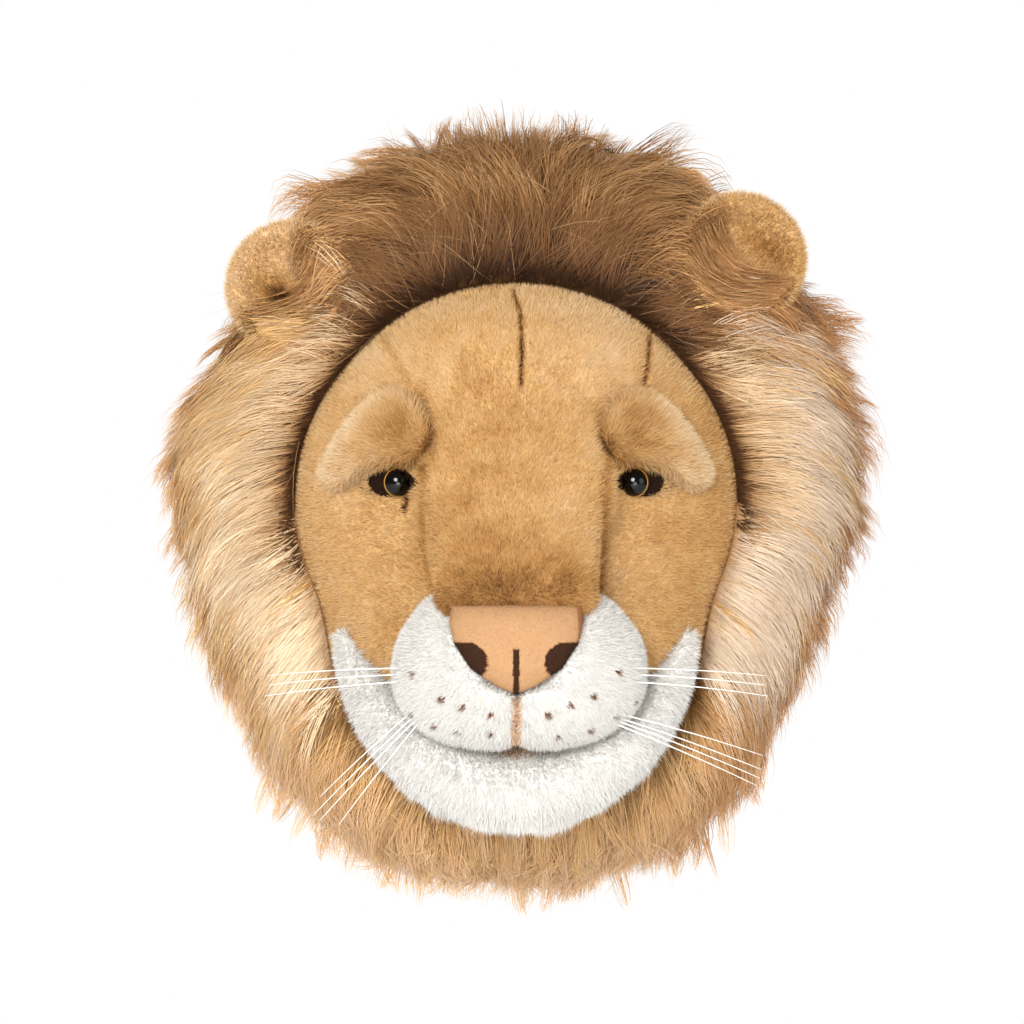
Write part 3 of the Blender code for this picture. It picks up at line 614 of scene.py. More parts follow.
def mane_outer(turn):
    """Outline radius of the mane in a direction, read smoothly between the named ones."""
    degrees = np.degrees(turn) % 360.0
    index = np.searchsorted(MANE_STOPS, degrees, side="right") - 1
    after = (index + 1) % len(MANE_STOPS)
    span = (MANE_STOPS[after] - MANE_STOPS[index]) % 360.0
    share = 0.5 - 0.5 * np.cos(math.pi * (degrees - MANE_STOPS[index]) / span)
    return STOP_RADII[index] * (1.0 - share) + STOP_RADII[after] * share


def rim_radii():
    """The turns and radii of the line where the mane's inner edge lies on the head."""
    rim = head_ring(full_turn(240), RIM_FORWARD)
    return np.arctan2(rim[:, 2], rim[:, 0]) % (2.0 * math.pi), np.hypot(rim[:, 0], rim[:, 2])


RIM = rim_radii()


def mane_inner(turn):
    return np.interp(turn, *RIM, period=2.0 * math.pi) + MANE_GAP


def bezier(share, first, second, third, last):
    rest = 1.0 - share
    return rest**3 * first + 3 * rest**2 * share * second + 3 * rest * share**2 * third + share**3 * last


def front_profile(share, turn):
    """(radius, forward) on the mane's front, from 0 at the face to 1 at the widest part.

    Past 1 it goes on outwards and back, for the tips. Below 0 it goes in over the face.
    """
    inner, outer = mane_inner(turn), mane_outer(turn)
    width = outer - inner
    within, past = np.clip(share, 0.0, 1.0), np.maximum(share - 1.0, 0.0)
    under = np.minimum(share, 0.0)
    dome = (MANE_DOME_FORWARD, MANE_DOME_FORWARD - MANE_DOME_DROP)
    radius = bezier(within, inner, inner + 0.14 * width, inner + 0.78 * width, outer) + under * width
    forward = bezier(within, RIM_FORWARD + 0.001, *dome, MANE_WIDEST_FORWARD)
    return radius + past * width * 0.75, forward - past * width * 0.60 - under * width * 2.2


# Depth of the cloth under the tips, along the front and behind: shares, then depths
FRONT_DEPTHS = ((0.0, 0.3, 0.7, 1.0, 1.4), (0.002, 0.006, 0.009, 0.016, 0.026))
BACK_DEPTHS = ((-0.3, 0.0, 0.4, 1.0), (0.022, 0.016, 0.010, 0.004))
PROFILE_STEP = 0.004


def profile_normal(profile, share, turn):
    """(radius, forward) of the direction out of a profile."""
    radius, forward = profile(share, turn)
    radius2, forward2 = profile(share + PROFILE_STEP, turn)
    slope = unit(np.stack([radius2 - radius, forward2 - forward], axis=-1))
    return -slope[..., 1], slope[..., 0]


def front_skin_profile(share, turn):
    radius, forward = front_profile(share, turn)
    out_radius, out_forward = profile_normal(front_profile, share, turn)
    depth = np.interp(share, *FRONT_DEPTHS)
    return radius - depth * out_radius, forward - depth * out_forward


def back_end(turn):
    return np.hypot(MANE_BACK_HALF_WIDTH * np.cos(turn), MANE_BACK_HALF_HEIGHT * np.sin(turn))


def back_profile(share, turn):
    """(radius, forward) behind the widest part, from 0 there to 1 at the panel."""
    outer = mane_outer(turn)
    within, past = np.clip(share, 0.0, 1.0), np.maximum(-share, 0.0)
    radius = outer + (back_end(turn) - outer) * within**1.5
    forward = MANE_WIDEST_FORWARD + (HEAD_BACK + 0.002 - MANE_WIDEST_FORWARD) * within
    return radius + past * 0.055, forward + past * 0.010


def back_skin_profile(share, turn):
    radius, forward = back_profile(share, turn)
    return radius - np.interp(share, *BACK_DEPTHS), forward


def place_at(profile, share, turn):
    radius, forward = profile(share, turn)
    return np.stack([radius * np.cos(turn), forward, radius * np.sin(turn)], axis=-1)


def way_out(profile, share, turn):
    """The direction out of the envelope."""
    out_radius, out_forward = profile_normal(profile, share, turn)
    return np.stack([out_radius * np.cos(turn), out_forward, out_radius * np.sin(turn)], axis=-1)


# How the mane is combed: at each direction round the head, how far the hair turns away from
# straight outwards, in degrees, at its inner and at its outer part
COMB = {
    0: (-6, -36), 10: (-10, -36), 25: (-14, -42), 40: (-28, -62), 50: (-30, -74), 60: (-18, -62),
    70: (-8, -42), 80: (-3, -20), 90: (0, 0), 100: (3, 20), 110: (8, 42), 120: (14, 58),
    130: (22, 60), 145: (24, 60), 160: (20, 56), 175: (15, 48), 190: (12, 40), 210: (9, 28),
    225: (7, 20), 240: (5, 15), 255: (3, 8), 270: (0, 0), 285: (-3, -6), 300: (-7, -15),
    315: (-8, -26), 330: (-7, -34), 345: (-6, -38),
}
COMB_TURNS = np.radians(sorted(COMB))
COMB_NEAR, COMB_FAR = np.radians([COMB[stop] for stop in sorted(COMB)]).T


def comb_offset(turn, share):
    near = np.interp(turn, COMB_TURNS, COMB_NEAR, period=2.0 * math.pi)
    far = np.interp(turn, COMB_TURNS, COMB_FAR, period=2.0 * math.pi)
    return between((near, far), step_softly(share, 0.05, 0.95))


STRAND_STEPS = 5


def comb_paths(profile, group, turn, share, length, lean):
    """Turn and share along strands that follow the comb over the envelope.

    In a group placed from the tips, each strand is followed back from its tip to its root.
    """
    turns, shares = [turn], [share]
    sign = -1.0 if group.from_tip else 1.0
    step = sign * length / STRAND_STEPS
    for _ in range(STRAND_STEPS):
        radius, forward = profile(share, turn)
        radius2, forward2 = profile(share + PROFILE_STEP * sign, turn)
        speed = np.maximum(np.hypot(radius2 - radius, forward2 - forward) / PROFILE_STEP, 0.02)
        offset = comb_offset(turn, np.full_like(share, 0.5) if group.behind else share) + lean
        share = share + step * np.cos(offset) / speed
        turn = turn + step * np.sin(offset) / radius
        turns.append(turn)
        shares.append(share)
    order = -1 if group.from_tip else 1
    return np.stack(turns[::order], axis=1), np.stack(shares[::order], axis=1)


# Objects


def add_object(name, places, triangles, material, uv=None):
    """A mesh object from places and triangles. uv is one pair for each place."""
    mesh = bpy.data.meshes.new(name)
    points = np.array(places, dtype=np.float32)
    points[:, 1] *= -1.0
    corners = np.ascontiguousarray(triangles[:, ::-1], dtype=np.int32)
    mesh.vertices.add(len(points))
    mesh.vertices.foreach_set("co", points.ravel())
    mesh.loops.add(corners.size)
    mesh.loops.foreach_set("vertex_index", corners.ravel())
    mesh.polygons.add(len(corners))
    mesh.polygons.foreach_set("loop_start", np.arange(0, corners.size, 3, dtype=np.int32))
    mesh.update(calc_edges=True)
    mesh.validate()
    if uv is not None:
        for layer_name in ("strand", "OFBake"):
            layer = mesh.uv_layers.new(name=layer_name)
            layer.uv.foreach_set("vector", uv[corners.ravel()].astype(np.float32).ravel())
    mesh.shade_smooth()
    thing = bpy.data.objects.new(name, mesh)
    mesh.materials.append(material)
    bpy.context.scene.collection.objects.link(thing)
    return thing


def ribbons(name, paths, normals, half_widths, twists, uv, material):
    """Strands as thin tapering strips. paths is (strands, stations, 3), the tip last."""
    count, stations = paths.shape[:2]
    tangents = unit(np.gradient(paths, axis=1))
    across = unit(np.cross(tangents, normals))
    upward = np.cross(across, tangents)
    turned = across * np.cos(twists)[:, None, None] + upward * np.sin(twists)[:, None, None]
    reach = turned[:, :-1] * half_widths[..., None]
    pairs = np.stack([paths[:, :-1] - reach, paths[:, :-1] + reach], axis=2)
    strand = np.concatenate([pairs.reshape(count, -1, 3), paths[:, -1:]], axis=1)
    each = strand.shape[1]
    pattern = []
    for step in range(stations - 2):
        low = 2 * step
        pattern += [(low, low + 1, low + 3), (low, low + 3, low + 2)]
    pattern.append((each - 3, each - 2, each - 1))
    pattern = np.array(pattern)
    triangles = (pattern[None] + (np.arange(count) * each)[:, None, None]).reshape(-1, 3)
    along = np.concatenate([np.repeat(np.arange(stations - 1), 2), [stations - 1]]) / (stations - 1)
    columns = np.repeat(uv[:, None], each, axis=1)
    rows = np.tile(0.02 + 0.96 * along, (count, 1))
    maps = np.stack([columns, rows], axis=-1).reshape(-1, 2)
    return add_object(name, strand.reshape(-1, 3), triangles, material, maps)


def scatter(skin, density, chance, keep=None):
    """Random places spread evenly over a skin, so many to the square millimetre."""
    places, triangles = skin
    if keep is not None:
        triangles = triangles[keep(places[triangles].mean(axis=1))]
    corners = places[triangles]
    areas = 0.5 * np.linalg.norm(squares(corners), axis=1)
    count = int(areas.sum() * 1e6 * density)
    picked = chance.choice(len(triangles), count, p=areas / areas.sum())
    first, second = chance.random((2, count))
    over = first + second > 1.0
    first[over], second[over] = 1.0 - first[over], 1.0 - second[over]
    weights = np.stack([1.0 - first - second, first, second], axis=1)[:, :, None]
    normals = vertex_normals(*skin)[triangles[picked]]
    points = (corners[picked] * weights).sum(axis=1)
    return points, unit((normals * weights).sum(axis=1))


NOISE_CELLS = 17


def noise(points, size, seed):
    """Smooth random values from 0 to 1 over space, with features of about a size."""
    table = np.random.default_rng(seed).random((NOISE_CELLS,) * 3)
    scaled = points / size
    cell = np.floor(scaled).astype(int)
    part = scaled - cell
    part = part * part * (3.0 - 2.0 * part)
    total = 0.0
    for corner in itertools.product((0, 1), repeat=3):
        x, y, z = ((cell + corner) % NOISE_CELLS).T
        total = total + np.abs(1 - np.array(corner) - part).prod(axis=1) * table[x, y, z]
    return total


PILE_SINK = 0.0003
# Short pile of each piece: blades to the square millimetre, length, width, lean and disorder
PILES = {
    "head": (2.3, 0.0032, 0.00042, 0.75, 0.30),
    "brow": (3.6, 0.0044, 0.00042, 0.75, 0.30),
    "ear": (2.6, 0.0044, 0.00042, 0.90, 0.30),
    "muzzle": (3.2, 0.0034, 0.00044, 0.60, 0.30),
    "chin": (2.6, 0.0042, 0.00048, 0.80, 0.30),
    "nose": (8.0, 0.0011, 0.00034, 1.10, 0.50),
    "eye_lining": (6.0, 0.0016, 0.00030, 0.75, 0.30),
}
# Density of the face's pile over the eyes' linings, spread of its lightness, and room under it
HANGING_DENSITY = 5.0
PILE_UNEVENNESS = 0.06
PLUSH_SINK = 0.0004


def pile_looks(node):
    return PILES[node.removesuffix("_left").removesuffix("_right")]


def sow(node, skin, chance, keep=None):
    """Places for the pile of a node's piece."""
    return scatter(skin, pile_looks(node)[0], chance, keep)


def pile(node, points, normals, flow, tones, material, chance, extra):
    """Short pile as one tapering blade each, leaning along the flow. extra is length on top."""
    count = len(points)
    _, length, width, lean, disorder = pile_looks(node)
    flow = unit(flow - normals * np.einsum("ij,ij->i", flow, normals)[:, None])
    lengths = (length + extra) * chance.uniform(0.7, 1.15, count)
    leans = lean + chance.normal(0.0, 0.16, count)
    ways = normals * np.cos(leans)[:, None] + flow * np.sin(leans)[:, None]
    ways = unit(ways + chance.normal(0.0, disorder, (count, 3)) * np.array((1.0, 0.6, 1.0)))
    start = points - normals * PILE_SINK
    paths = np.stack([start, start + ways * lengths[:, None]], axis=1)
    stations = np.repeat(normals[:, None], 2, axis=1)
    widths = np.full((count, 1), width * 0.5)
    twists = chance.normal(0.0, 0.6, count)
    return ribbons(node + "_pile", paths, stations, widths, twists, tones, material)


# Materials


def new_material(name):
    made = bpy.data.materials.new(name)
    made.use_nodes = True
    return made, made.node_tree.nodes, made.node_tree.links, made.node_tree.nodes["Principled BSDF"]


def ramp(nodes, stops):
    """A colour ramp from (place, sRGB colour) stops."""
    node = nodes.new("ShaderNodeValToRGB")
    elements = node.color_ramp.elements
    while len(elements) < len(stops):
        elements.new(0.5)
    for element, (place, colour) in zip(elements, stops):
        element.position = place
        element.color = (*linear(colour), 1.0)
    return node


def calculate(nodes, links, operation, source, *values, kind="ShaderNodeMath"):
    """A math node on a socket, with constants for its other inputs."""
    node = nodes.new(kind)
    node.operation = operation
    for socket, value in zip(node.inputs[1:], values):
        socket.default_value = value
    links.new(source, node.inputs[0])
    return node.outputs[0]


def strand_material(name, kinds, roughness, tone_range, specular):
    """Fur whose strands carry their kind and tone across the map, and root to tip up it.

    kinds is a list of colour gradients from root to tip. The map's width is split evenly
    between them, and inside each the tone goes from dark to light.
    """
    made, nodes, links, shader = new_material(name)
    uv = nodes.new("ShaderNodeUVMap")
    uv.uv_map = "strand"
    split = nodes.new("ShaderNodeSeparateXYZ")
    links.new(uv.outputs["UV"], split.inputs["Vector"])
    scaled = calculate(nodes, links, "MULTIPLY", split.outputs["X"], len(kinds))
    tone = calculate(nodes, links, "FRACT", scaled)
    colour = None
    for index, stops in enumerate(kinds):
        gradient = ramp(nodes, stops)
        links.new(split.outputs["Y"], gradient.inputs["Fac"])
        if colour is None:
            colour = gradient.outputs["Color"]
            continue
        mix = nodes.new("ShaderNodeMix")
        mix.data_type = "RGBA"
        links.new(calculate(nodes, links, "GREATER_THAN", scaled, index), mix.inputs["Factor"])
        links.new(colour, mix.inputs[6])
        links.new(gradient.outputs["Color"], mix.inputs[7])
        colour = mix.outputs[2]
    value = nodes.new("ShaderNodeMapRange")
    value.inputs["To Min"].default_value = tone_range[0]
    value.inputs["To Max"].default_value = tone_range[1]
    links.new(tone, value.inputs["Value"])
    shade = nodes.new("ShaderNodeHueSaturation")
    links.new(value.outputs["Result"], shade.inputs["Value"])
    links.new(colour, shade.inputs["Color"])
    links.new(shade.outputs["Color"], shader.inputs["Base Color"])
    shader.inputs["Roughness"].default_value = roughness
    shader.inputs["Specular IOR Level"].default_value = specular
    return made


def mottled_material(name, stops, scale, detail, roughness):
    """A material with a little uneven colour."""
    made, nodes, links, shader = new_material(name)
    place = nodes.new("ShaderNodeTexCoord")
    cloud = nodes.new("ShaderNodeTexNoise")
    cloud.inputs["Scale"].default_value = scale
    cloud.inputs["Detail"].default_value = detail
    links.new(place.outputs["Object"], cloud.inputs["Vector"])
    tint = ramp(nodes, stops)
    links.new(cloud.outputs["Fac"], tint.inputs["Fac"])
    links.new(tint.outputs["Color"], shader.inputs["Base Color"])
    shader.inputs["Roughness"].default_value = roughness
    return made, place.outputs["Object"]


def woven_material(name, stops):
    """Woven cloth with a little uneven colour."""
    made, place = mottled_material(name, stops, 30.0, 5.0, 0.9)
    nodes, links = made.node_tree.nodes, made.node_tree.links
    bump = nodes.new("ShaderNodeBump")
    bump.inputs["Strength"].default_value = 0.5
    bump.inputs["Distance"].default_value = 0.0004
    threads = nodes.new("ShaderNodeTexWave")
    threads.inputs["Scale"].default_value = 260.0
    threads.inputs["Distortion"].default_value = 0.6
    threads.bands_direction = "DIAGONAL"
    links.new(place, threads.inputs["Vector"])
    links.new(threads.outputs["Fac"], bump.inputs["Height"])
    links.new(bump.outputs["Normal"], nodes["Principled BSDF"].inputs["Normal"])
    return made


# Colours of the strands from root to tip, in sRGB
MANE_KINDS = (
    # crown, beside the face: almost black brown for a third of the length, partly the fabric's dark roots
    # and partly painted shade where the mane meets the face
    ((0.0, (44, 26, 13)), (0.30, (62, 38, 19)), (0.60, (112, 74, 40)), (1.0, (152, 108, 66))),
    # crown
    ((0.0, (74, 46, 22)), (0.35, (116, 78, 41)), (0.75, (152, 107, 63)), (1.0, (190, 146, 100))),
    # crown, light
    ((0.0, (104, 68, 35)), (0.4, (158, 112, 65)), (0.9, (200, 156, 106)), (1.0, (212, 170, 124))),
    # side, beside the face: dark root, partly the fabric's and partly painted shade where the mane meets the
    # face, then tan and cream
    ((0.0, (46, 28, 15)), (0.20, (88, 57, 32)), (0.38, (178, 137, 92)), (0.8, (230, 200, 160))),
    # side, cream
    ((0.0, (214, 180, 138)), (0.4, (240, 214, 176)), (0.75, (246, 224, 192)), (1.0, (243, 217, 180))),
    # right side, cool cream: a greyer, darker copy of the cream as painted shade of that side
    ((0.0, (182, 152, 120)), (0.4, (216, 192, 164)), (0.75, (226, 204, 180)), (1.0, (218, 190, 162))),
    # side, warm yellow tan
    ((0.0, (180, 134, 76)), (0.45, (216, 172, 110)), (0.8, (226, 186, 130)), (1.0, (232, 198, 152))),
    # outer side, brown with rosy tips
    ((0.0, (140, 96, 56)), (0.45, (176, 125, 77)), (0.8, (188, 138, 93)), (1.0, (197, 148, 106))),
    # beard, beside the chin: olive brown
    ((0.0, (98, 70, 36)), (0.32, (146, 107, 61)), (0.62, (216, 170, 114)), (1.0, (234, 192, 146))),
    # beard
    ((0.0, (160, 120, 74)), (0.35, (214, 172, 119)), (0.7, (232, 193, 148)), (1.0, (236, 200, 165))),
    # beard, dark streak
    ((0.0, (106, 72, 40)), (0.4, (154, 110, 64)), (0.75, (198, 148, 96)), (1.0, (222, 174, 130))),
    # pale stray hair
    ((0.0, (150, 108, 66)), (0.5, (188, 146, 100)), (0.9, (208, 168, 124)), (1.0, (220, 184, 144))),
    # tufts beside the crown, light orange tan
    ((0.0, (134, 92, 52)), (0.4, (188, 138, 86)), (0.8, (212, 163, 110)), (1.0, (222, 178, 132))),
    # left cheek, cream with tan tips
    ((0.0, (210, 180, 144)), (0.4, (234, 208, 172)), (0.75, (220, 182, 134)), (1.0, (212, 168, 120))),
)
(
    CROWN_RIM, CROWN, CROWN_LIGHT, SIDE_RIM, CREAM, SHADED_CREAM, YELLOW, ROSY, BEARD_RIM, BEARD, BEARD_DARK,
    STRAY, TUFT, CHEEK,
) = range(len(MANE_KINDS))

# Tan plush from its darkest to its lightest
TAN_STEPS = (
    ((0.0, (40, 24, 12)), (1.0, (70, 44, 22))),
    ((0.0, (94, 62, 30)), (1.0, (148, 102, 54))),
    ((0.0, (146, 102, 54)), (1.0, (200, 150, 90))),
    ((0.0, (178, 134, 80)), (1.0, (222, 182, 124))),
    ((0.0, (198, 160, 112)), (1.0, (230, 198, 154))),
    ((0.0, (212, 180, 136)), (1.0, (240, 216, 178))),
    ((0.0, (228, 202, 162)), (1.0, (250, 234, 204))),
)


def with_halves(kinds):
    """The gradients, with one more half-way between each two."""
    made = []
    for low, high in zip(kinds[:-1], kinds[1:]):
        middle = []
        for (place, first), (_, second) in zip(low, high):
            middle.append((place, tuple((a + b) / 2 for a, b in zip(first, second))))
        made += [low, middle]
    return (*made, kinds[-1])


TAN_KINDS = with_halves(TAN_STEPS)
WHITE_KINDS = (
    ((0.0, (96, 60, 34)), (1.0, (132, 86, 54))),
    ((0.0, (224, 192, 160)), (1.0, (236, 208, 180))),
    ((0.0, (217, 213, 206)), (1.0, (229, 227, 223))),
    ((0.0, (224, 221, 216)), (1.0, (235, 233, 229))),
)
FELT_KINDS = (
    ((0.0, (44, 26, 16)), (1.0, (66, 42, 28))),
    ((0.0, (146, 98, 62)), (1.0, (166, 116, 78))),
    ((0.0, (174, 132, 92)), (1.0, (193, 152, 112))),
    ((0.0, (186, 146, 108)), (1.0, (201, 166, 130))),
)


# The part of a kind's width on the map that its tones take up, and the height of a skin's colour
KIND_SPAN = (0.06, 0.94)
SKIN_HEIGHT = 0.55


def kind_place(kind, count, tone):
    """Where on the map a strand of a kind and a tone from 0 to 1 lies."""
    return (kind + between(KIND_SPAN, np.clip(tone, 0.0, 1.0))) / count


def level_place(level, count):
    """Where on the map a strand lies whose colour is a level from 0, dark, to 1, light."""
    scaled = np.clip(level, 0.0, 0.999) * count
    kind = np.floor(scaled)
    return kind_place(kind, count, scaled - kind)


def make_camera():
    data = bpy.data.cameras.new("camera")
    data.sensor_width = 36.0
    data.lens = 162.0
    camera = bpy.data.objects.new("camera", data)
    camera.location = (-0.0018, -2.2, -0.0023)
    camera.rotation_euler = (math.radians(90), 0.0, 0.0)
    bpy.context.scene.collection.objects.link(camera)
    bpy.context.scene.camera = camera


# Lights: name, place, size and power
LIGHTS = (
    ("key", (-0.45, -2.25, 0.55), 0.9, 42.0),
    ("low", (0.1, -2.0, -0.40), 0.8, 9.0),
    ("fill", (1.4, -1.5, 0.2), 1.2, 6.0),
    ("back", (0.9, 1.9, 1.1), 1.0, 18.0),
)
LIGHT_TARGET = (0.0, -0.1, 0.0)


def soft_light(name, location, size, energy):
    data = bpy.data.lights.new(name, "AREA")
    data.shape = "DISK"
    data.size = size
    data.energy = energy
    light = bpy.data.objects.new(name, data)
    light.location = location
    aim = Vector(LIGHT_TARGET) - Vector(location)
    light.rotation_euler = aim.to_track_quat("-Z", "Y").to_euler()
    bpy.context.scene.collection.objects.link(light)


def make_world():
    """White for the camera, and a dimmer, warmer room for the light and for glossy rays."""
    scene = bpy.context.scene
    scene.view_settings.view_transform = "Standard"
    scene.world = bpy.data.worlds.new("studio")
    scene.world.use_nodes = True
    nodes, links = scene.world.node_tree.nodes, scene.world.node_tree.links
    backdrop = nodes["Background"]
    backdrop.inputs["Color"].default_value = (1.0, 1.0, 1.0, 1.0)
    backdrop.inputs["Strength"].default_value = 1.0
    room = nodes.new("ShaderNodeBackground")
    room.inputs["Color"].default_value = (1.0, 0.985, 0.96, 1.0)
    seen = nodes.new("ShaderNodeLightPath")
    gloss = calculate(nodes, links, "MULTIPLY_ADD", seen.outputs["Is Glossy Ray"], -0.45, 0.60)
    links.new(gloss, room.inputs["Strength"])
    mix = nodes.new("ShaderNodeMixShader")
    links.new(seen.outputs["Is Camera Ray"], mix.inputs["Fac"])
    links.new(room.outputs[0], mix.inputs[1])
    links.new(backdrop.outputs[0], mix.inputs[2])
    links.new(mix.outputs[0], nodes["World Output"].inputs["Surface"])


def make_floor():
    floor = bpy.data.meshes.new("floor")
    half, low = 3.0, -0.6
    corners = [(-half, -half, low), (half, -half, low), (half, half, low), (-half, half, low)]
    floor.from_pydata(corners, [], [(0, 1, 2, 3)])
    made, _, _, shader = new_material("pale floor")
    shader.inputs["Base Color"].default_value = (0.86, 0.86, 0.85, 1.0)
    shader.inputs["Roughness"].default_value = 0.7
    floor.materials.append(made)
    thing = bpy.data.objects.new("floor", floor)
    bpy.context.scene.collection.objects.link(thing)


def finish_piece(thing, node):
    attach(thing, "root")
    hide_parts(node)


def make_fur(slot, kinds, roughness, tone_range, specular):
    """What the pieces of one fur share: slot, colour kinds and material."""
    return slot, kinds, strand_material(slot, kinds, roughness, tone_range, specular)


def add_skin(node, skin, level, fur):
    """The cloth of a padded piece, coloured like the pile on it."""
    slot, kinds, material = fur
    uv = np.stack([level_place(level, len(kinds)), np.full(len(level), SKIN_HEIGHT)], axis=1)
    finish_piece(add_object(node + "_skin", *skin, material, uv), node)


def add_pile(node, points, normals, flow, level, fur, chance, extra=0.0):
    """The short pile of a piece. level is how light each blade is."""
    slot, kinds, material = fur
    tones = level_place(level, len(kinds))
    coat = pile(node, points, normals, flow, tones, material, chance, extra)
    finish_piece(coat, node)


def ahead_of(forward):
    """Which points lie further from the wall than a distance."""
    return lambda points: points[:, 1] > forward


def over_head(depth):
    """Which points lie further out than a depth under the head's front."""
    return lambda points: points[:, 1] > head_front(points[:, 0], points[:, 2]) - depth


# The face


# How far the face's pile goes on under the mane
FACE_LAP = 0.004
FACE_BACK = 0.112


def well_inside(x, z, outline, inset):
    """Which places lie in an outline and at least an inset from its edge."""
    return inside_outline(x, z, outline) & (outline_distance(x, z, outline) > inset)


def face_kept(points):
    """Which places of the head's skin carry pile that can be seen."""
    x, forward, z = points.T
    rim = mane_inner(np.arctan2(z, x))
    kept = (forward > RIM_FORWARD - FACE_LAP) | (np.hypot(x, z) < rim - FACE_LAP)
    kept &= forward > FACE_BACK
    for side in SIDES.values():
        kept &= ~well_inside(x, z, mirrored(BROW_OUTLINE, side), 0.0025)
        kept &= ~well_inside(x, z, mirrored(MUZZLE_OUTLINE, side), 0.003)
        kept &= np.hypot(x - side * EYE_CENTRE[0], z - EYE_CENTRE[1]) > EYE_RADIUS
        length = (x - side * BARE_LINING[0]) / BARE_LINING[1]
        height = (z - LINING_CENTRE[1]) / LINING_HALF_HEIGHT
        kept &= np.hypot(length, height) > 0.95
    kept &= ~well_inside(x, z, WHOLE_NOSE, 0.0015)
    chin = np.hypot(x / CHIN_SPAN_X, (z - CHIN_CENTRE_Z) / CHIN_SPAN_Z)
    return kept & ~((z < CHIN_CENTRE_Z - 0.035) & (chin > 0.90) & (forward > 0.150))


def face_flow(points):
    """The pile lies away from the nose, up over the forehead and out over the cheeks."""
    x, z = points[:, 0], points[:, 2]
    return unit(np.stack([x * 1.1, np.full_like(x, -0.1), z + 0.050], axis=1))


def line_shade(x, z, line, width):
    """A shade along a line, 1 on it, that fades over a width."""
    return np.exp(-((line_distance(x, z, line) / width) ** 2))


def face_level(points):
    """How light the tan plush is at each place of the face."""
    x, z = points[:, 0], points[:, 2]
    level = np.full(len(x), 0.53)
    level += 0.10 * step_softly(z, 0.035, 0.075)
    level -= 0.10 * np.exp(-(((x + 0.015) / 0.030) ** 2))
    level -= 0.20 * step_softly(-z, 0.004, 0.038) * step_softly(-np.abs(x), -0.042, -0.020)
    # Painted shade: the right side of the face is darker, as on the side turned from the light
    level -= 0.06 * step_softly(x, 0.04, 0.08)
    level += 0.13 * (noise(points, 0.011, 3) - 0.5) + 0.08 * (noise(points, 0.0040, 4) - 0.5)
    # Dark seams are darkened as thread lines; the faint lines get painted shade of the creases down the
    # bridge's edges
    for line, darkness in SEAMS_AND_SHADED_CREASES:
        level -= 0.48 * darkness * line_shade(x, z, line, DARK_SHADE if darkness > 0.9 else FAINT_SHADE)
    return level - 0.6 * line_shade(x, z, TEAR_LINE, TEAR_SHADE)


def over_lining(points, side):
    """Which places of an eye's lining the pile of the brow and of the cheek hangs over."""
    out, z = side * points[:, 0], points[:, 2]
    (low_x, low_z), (high_x, high_z) = LID_LINE
    lid = low_z + (high_z - low_z) * (low_x - out) / (low_x - high_x)
    (middle_x, middle_z), (half_x, half_z) = SHOWN_LINING
    away = np.hypot((out - middle_x) / half_x, (z - middle_z) / half_z)
    return (z > lid) | ((away > 1.0) & (out > middle_x))


def make_head(fur):
    chance = np.random.default_rng(21)
    places, triangles = head_skin()
    normals = vertex_normals(places, triangles)
    skin = (places - normals * (seam_depth(places) + PLUSH_SINK)[:, None], triangles)
    add_skin("head", skin, face_level(skin[0]), fur)
    points, normals = sow("head", skin, chance, face_kept)
    found = [only(face_kept(points), points, normals)]
    for side in SIDES.values():
        points, normals = scatter(lining_skin(side), HANGING_DENSITY, chance, over_head(0.0))
        found.append(only(over_lining(points, side), points, normals))
    points, normals = (np.concatenate(parts) for parts in zip(*found))
    level = face_level(points) + chance.normal(0.0, PILE_UNEVENNESS, len(points))
    add_pile("head", points, normals, face_flow(points), level, fur, chance)


def make_brows(fur):
    for side_name, side in SIDES.items():
        name = "brow_" + side_name
        chance = np.random.default_rng(31 + side)
        skin = brow_skin(side)
        add_skin(name, skin, brow_level(skin[0], side), fur)
        points, normals = sow(name, skin, chance, over_head(0.001))
        x, z = points[:, 0], points[:, 2]
        level = brow_level(points, side) + chance.normal(0.0, PILE_UNEVENNESS, len(x))
        flow = unit(np.stack([side * (side * x - 0.030), np.zeros_like(x), z - 0.012], axis=1))
        add_pile(name, points, normals, flow, level, fur, chance)


def brow_level(places, side):
    """Tan at the inner end, paler outwards, with a pale band along the outer edge that is a painted
    highlight of the turned edge.
    """
    out, z = side * places[:, 0], places[:, 2]
    rim = outline_distance(out, z, BROW_OUTLINE)
    # Painted highlight along the brow's turned outer edge
    painted_edge_highlight = np.exp(-((rim / 0.0060) ** 2)) * step_softly(z - 0.55 * (0.075 - out), 0.0, 0.02)
    level = 0.37 + 0.20 * step_softly(out, 0.048, 0.076) + 0.20 * painted_edge_highlight
    level -= 0.30 * step_softly(-out, -0.045, -0.038) * step_softly(-z, -0.05, -0.02)
    return level + 0.12 * (noise(places, 0.0045, 5) - 0.5)


def make_muzzles(fur):
    for side_name, side in SIDES.items():
        name = "muzzle_" + side_name
        chance = np.random.default_rng(41 + side)
        skin = muzzle_skin(side)
        add_skin(name, skin, muzzle_level(skin[0]), fur)
        points, normals = sow(name, skin, chance, ahead_of(MUZZLE_SHOWN_FORWARD))
        x, z = points[:, 0], points[:, 2]
        level = muzzle_level(points)
        level += np.where(level > 0.6, chance.normal(0.0, PILE_UNEVENNESS, len(x)), 0.0)
        flow = unit(np.stack([side * 0.6 + 8 * x, np.zeros_like(x), -0.7 + 6 * (z + 0.075)], axis=1))
        add_pile(name, points, normals, flow, level, fur, chance)


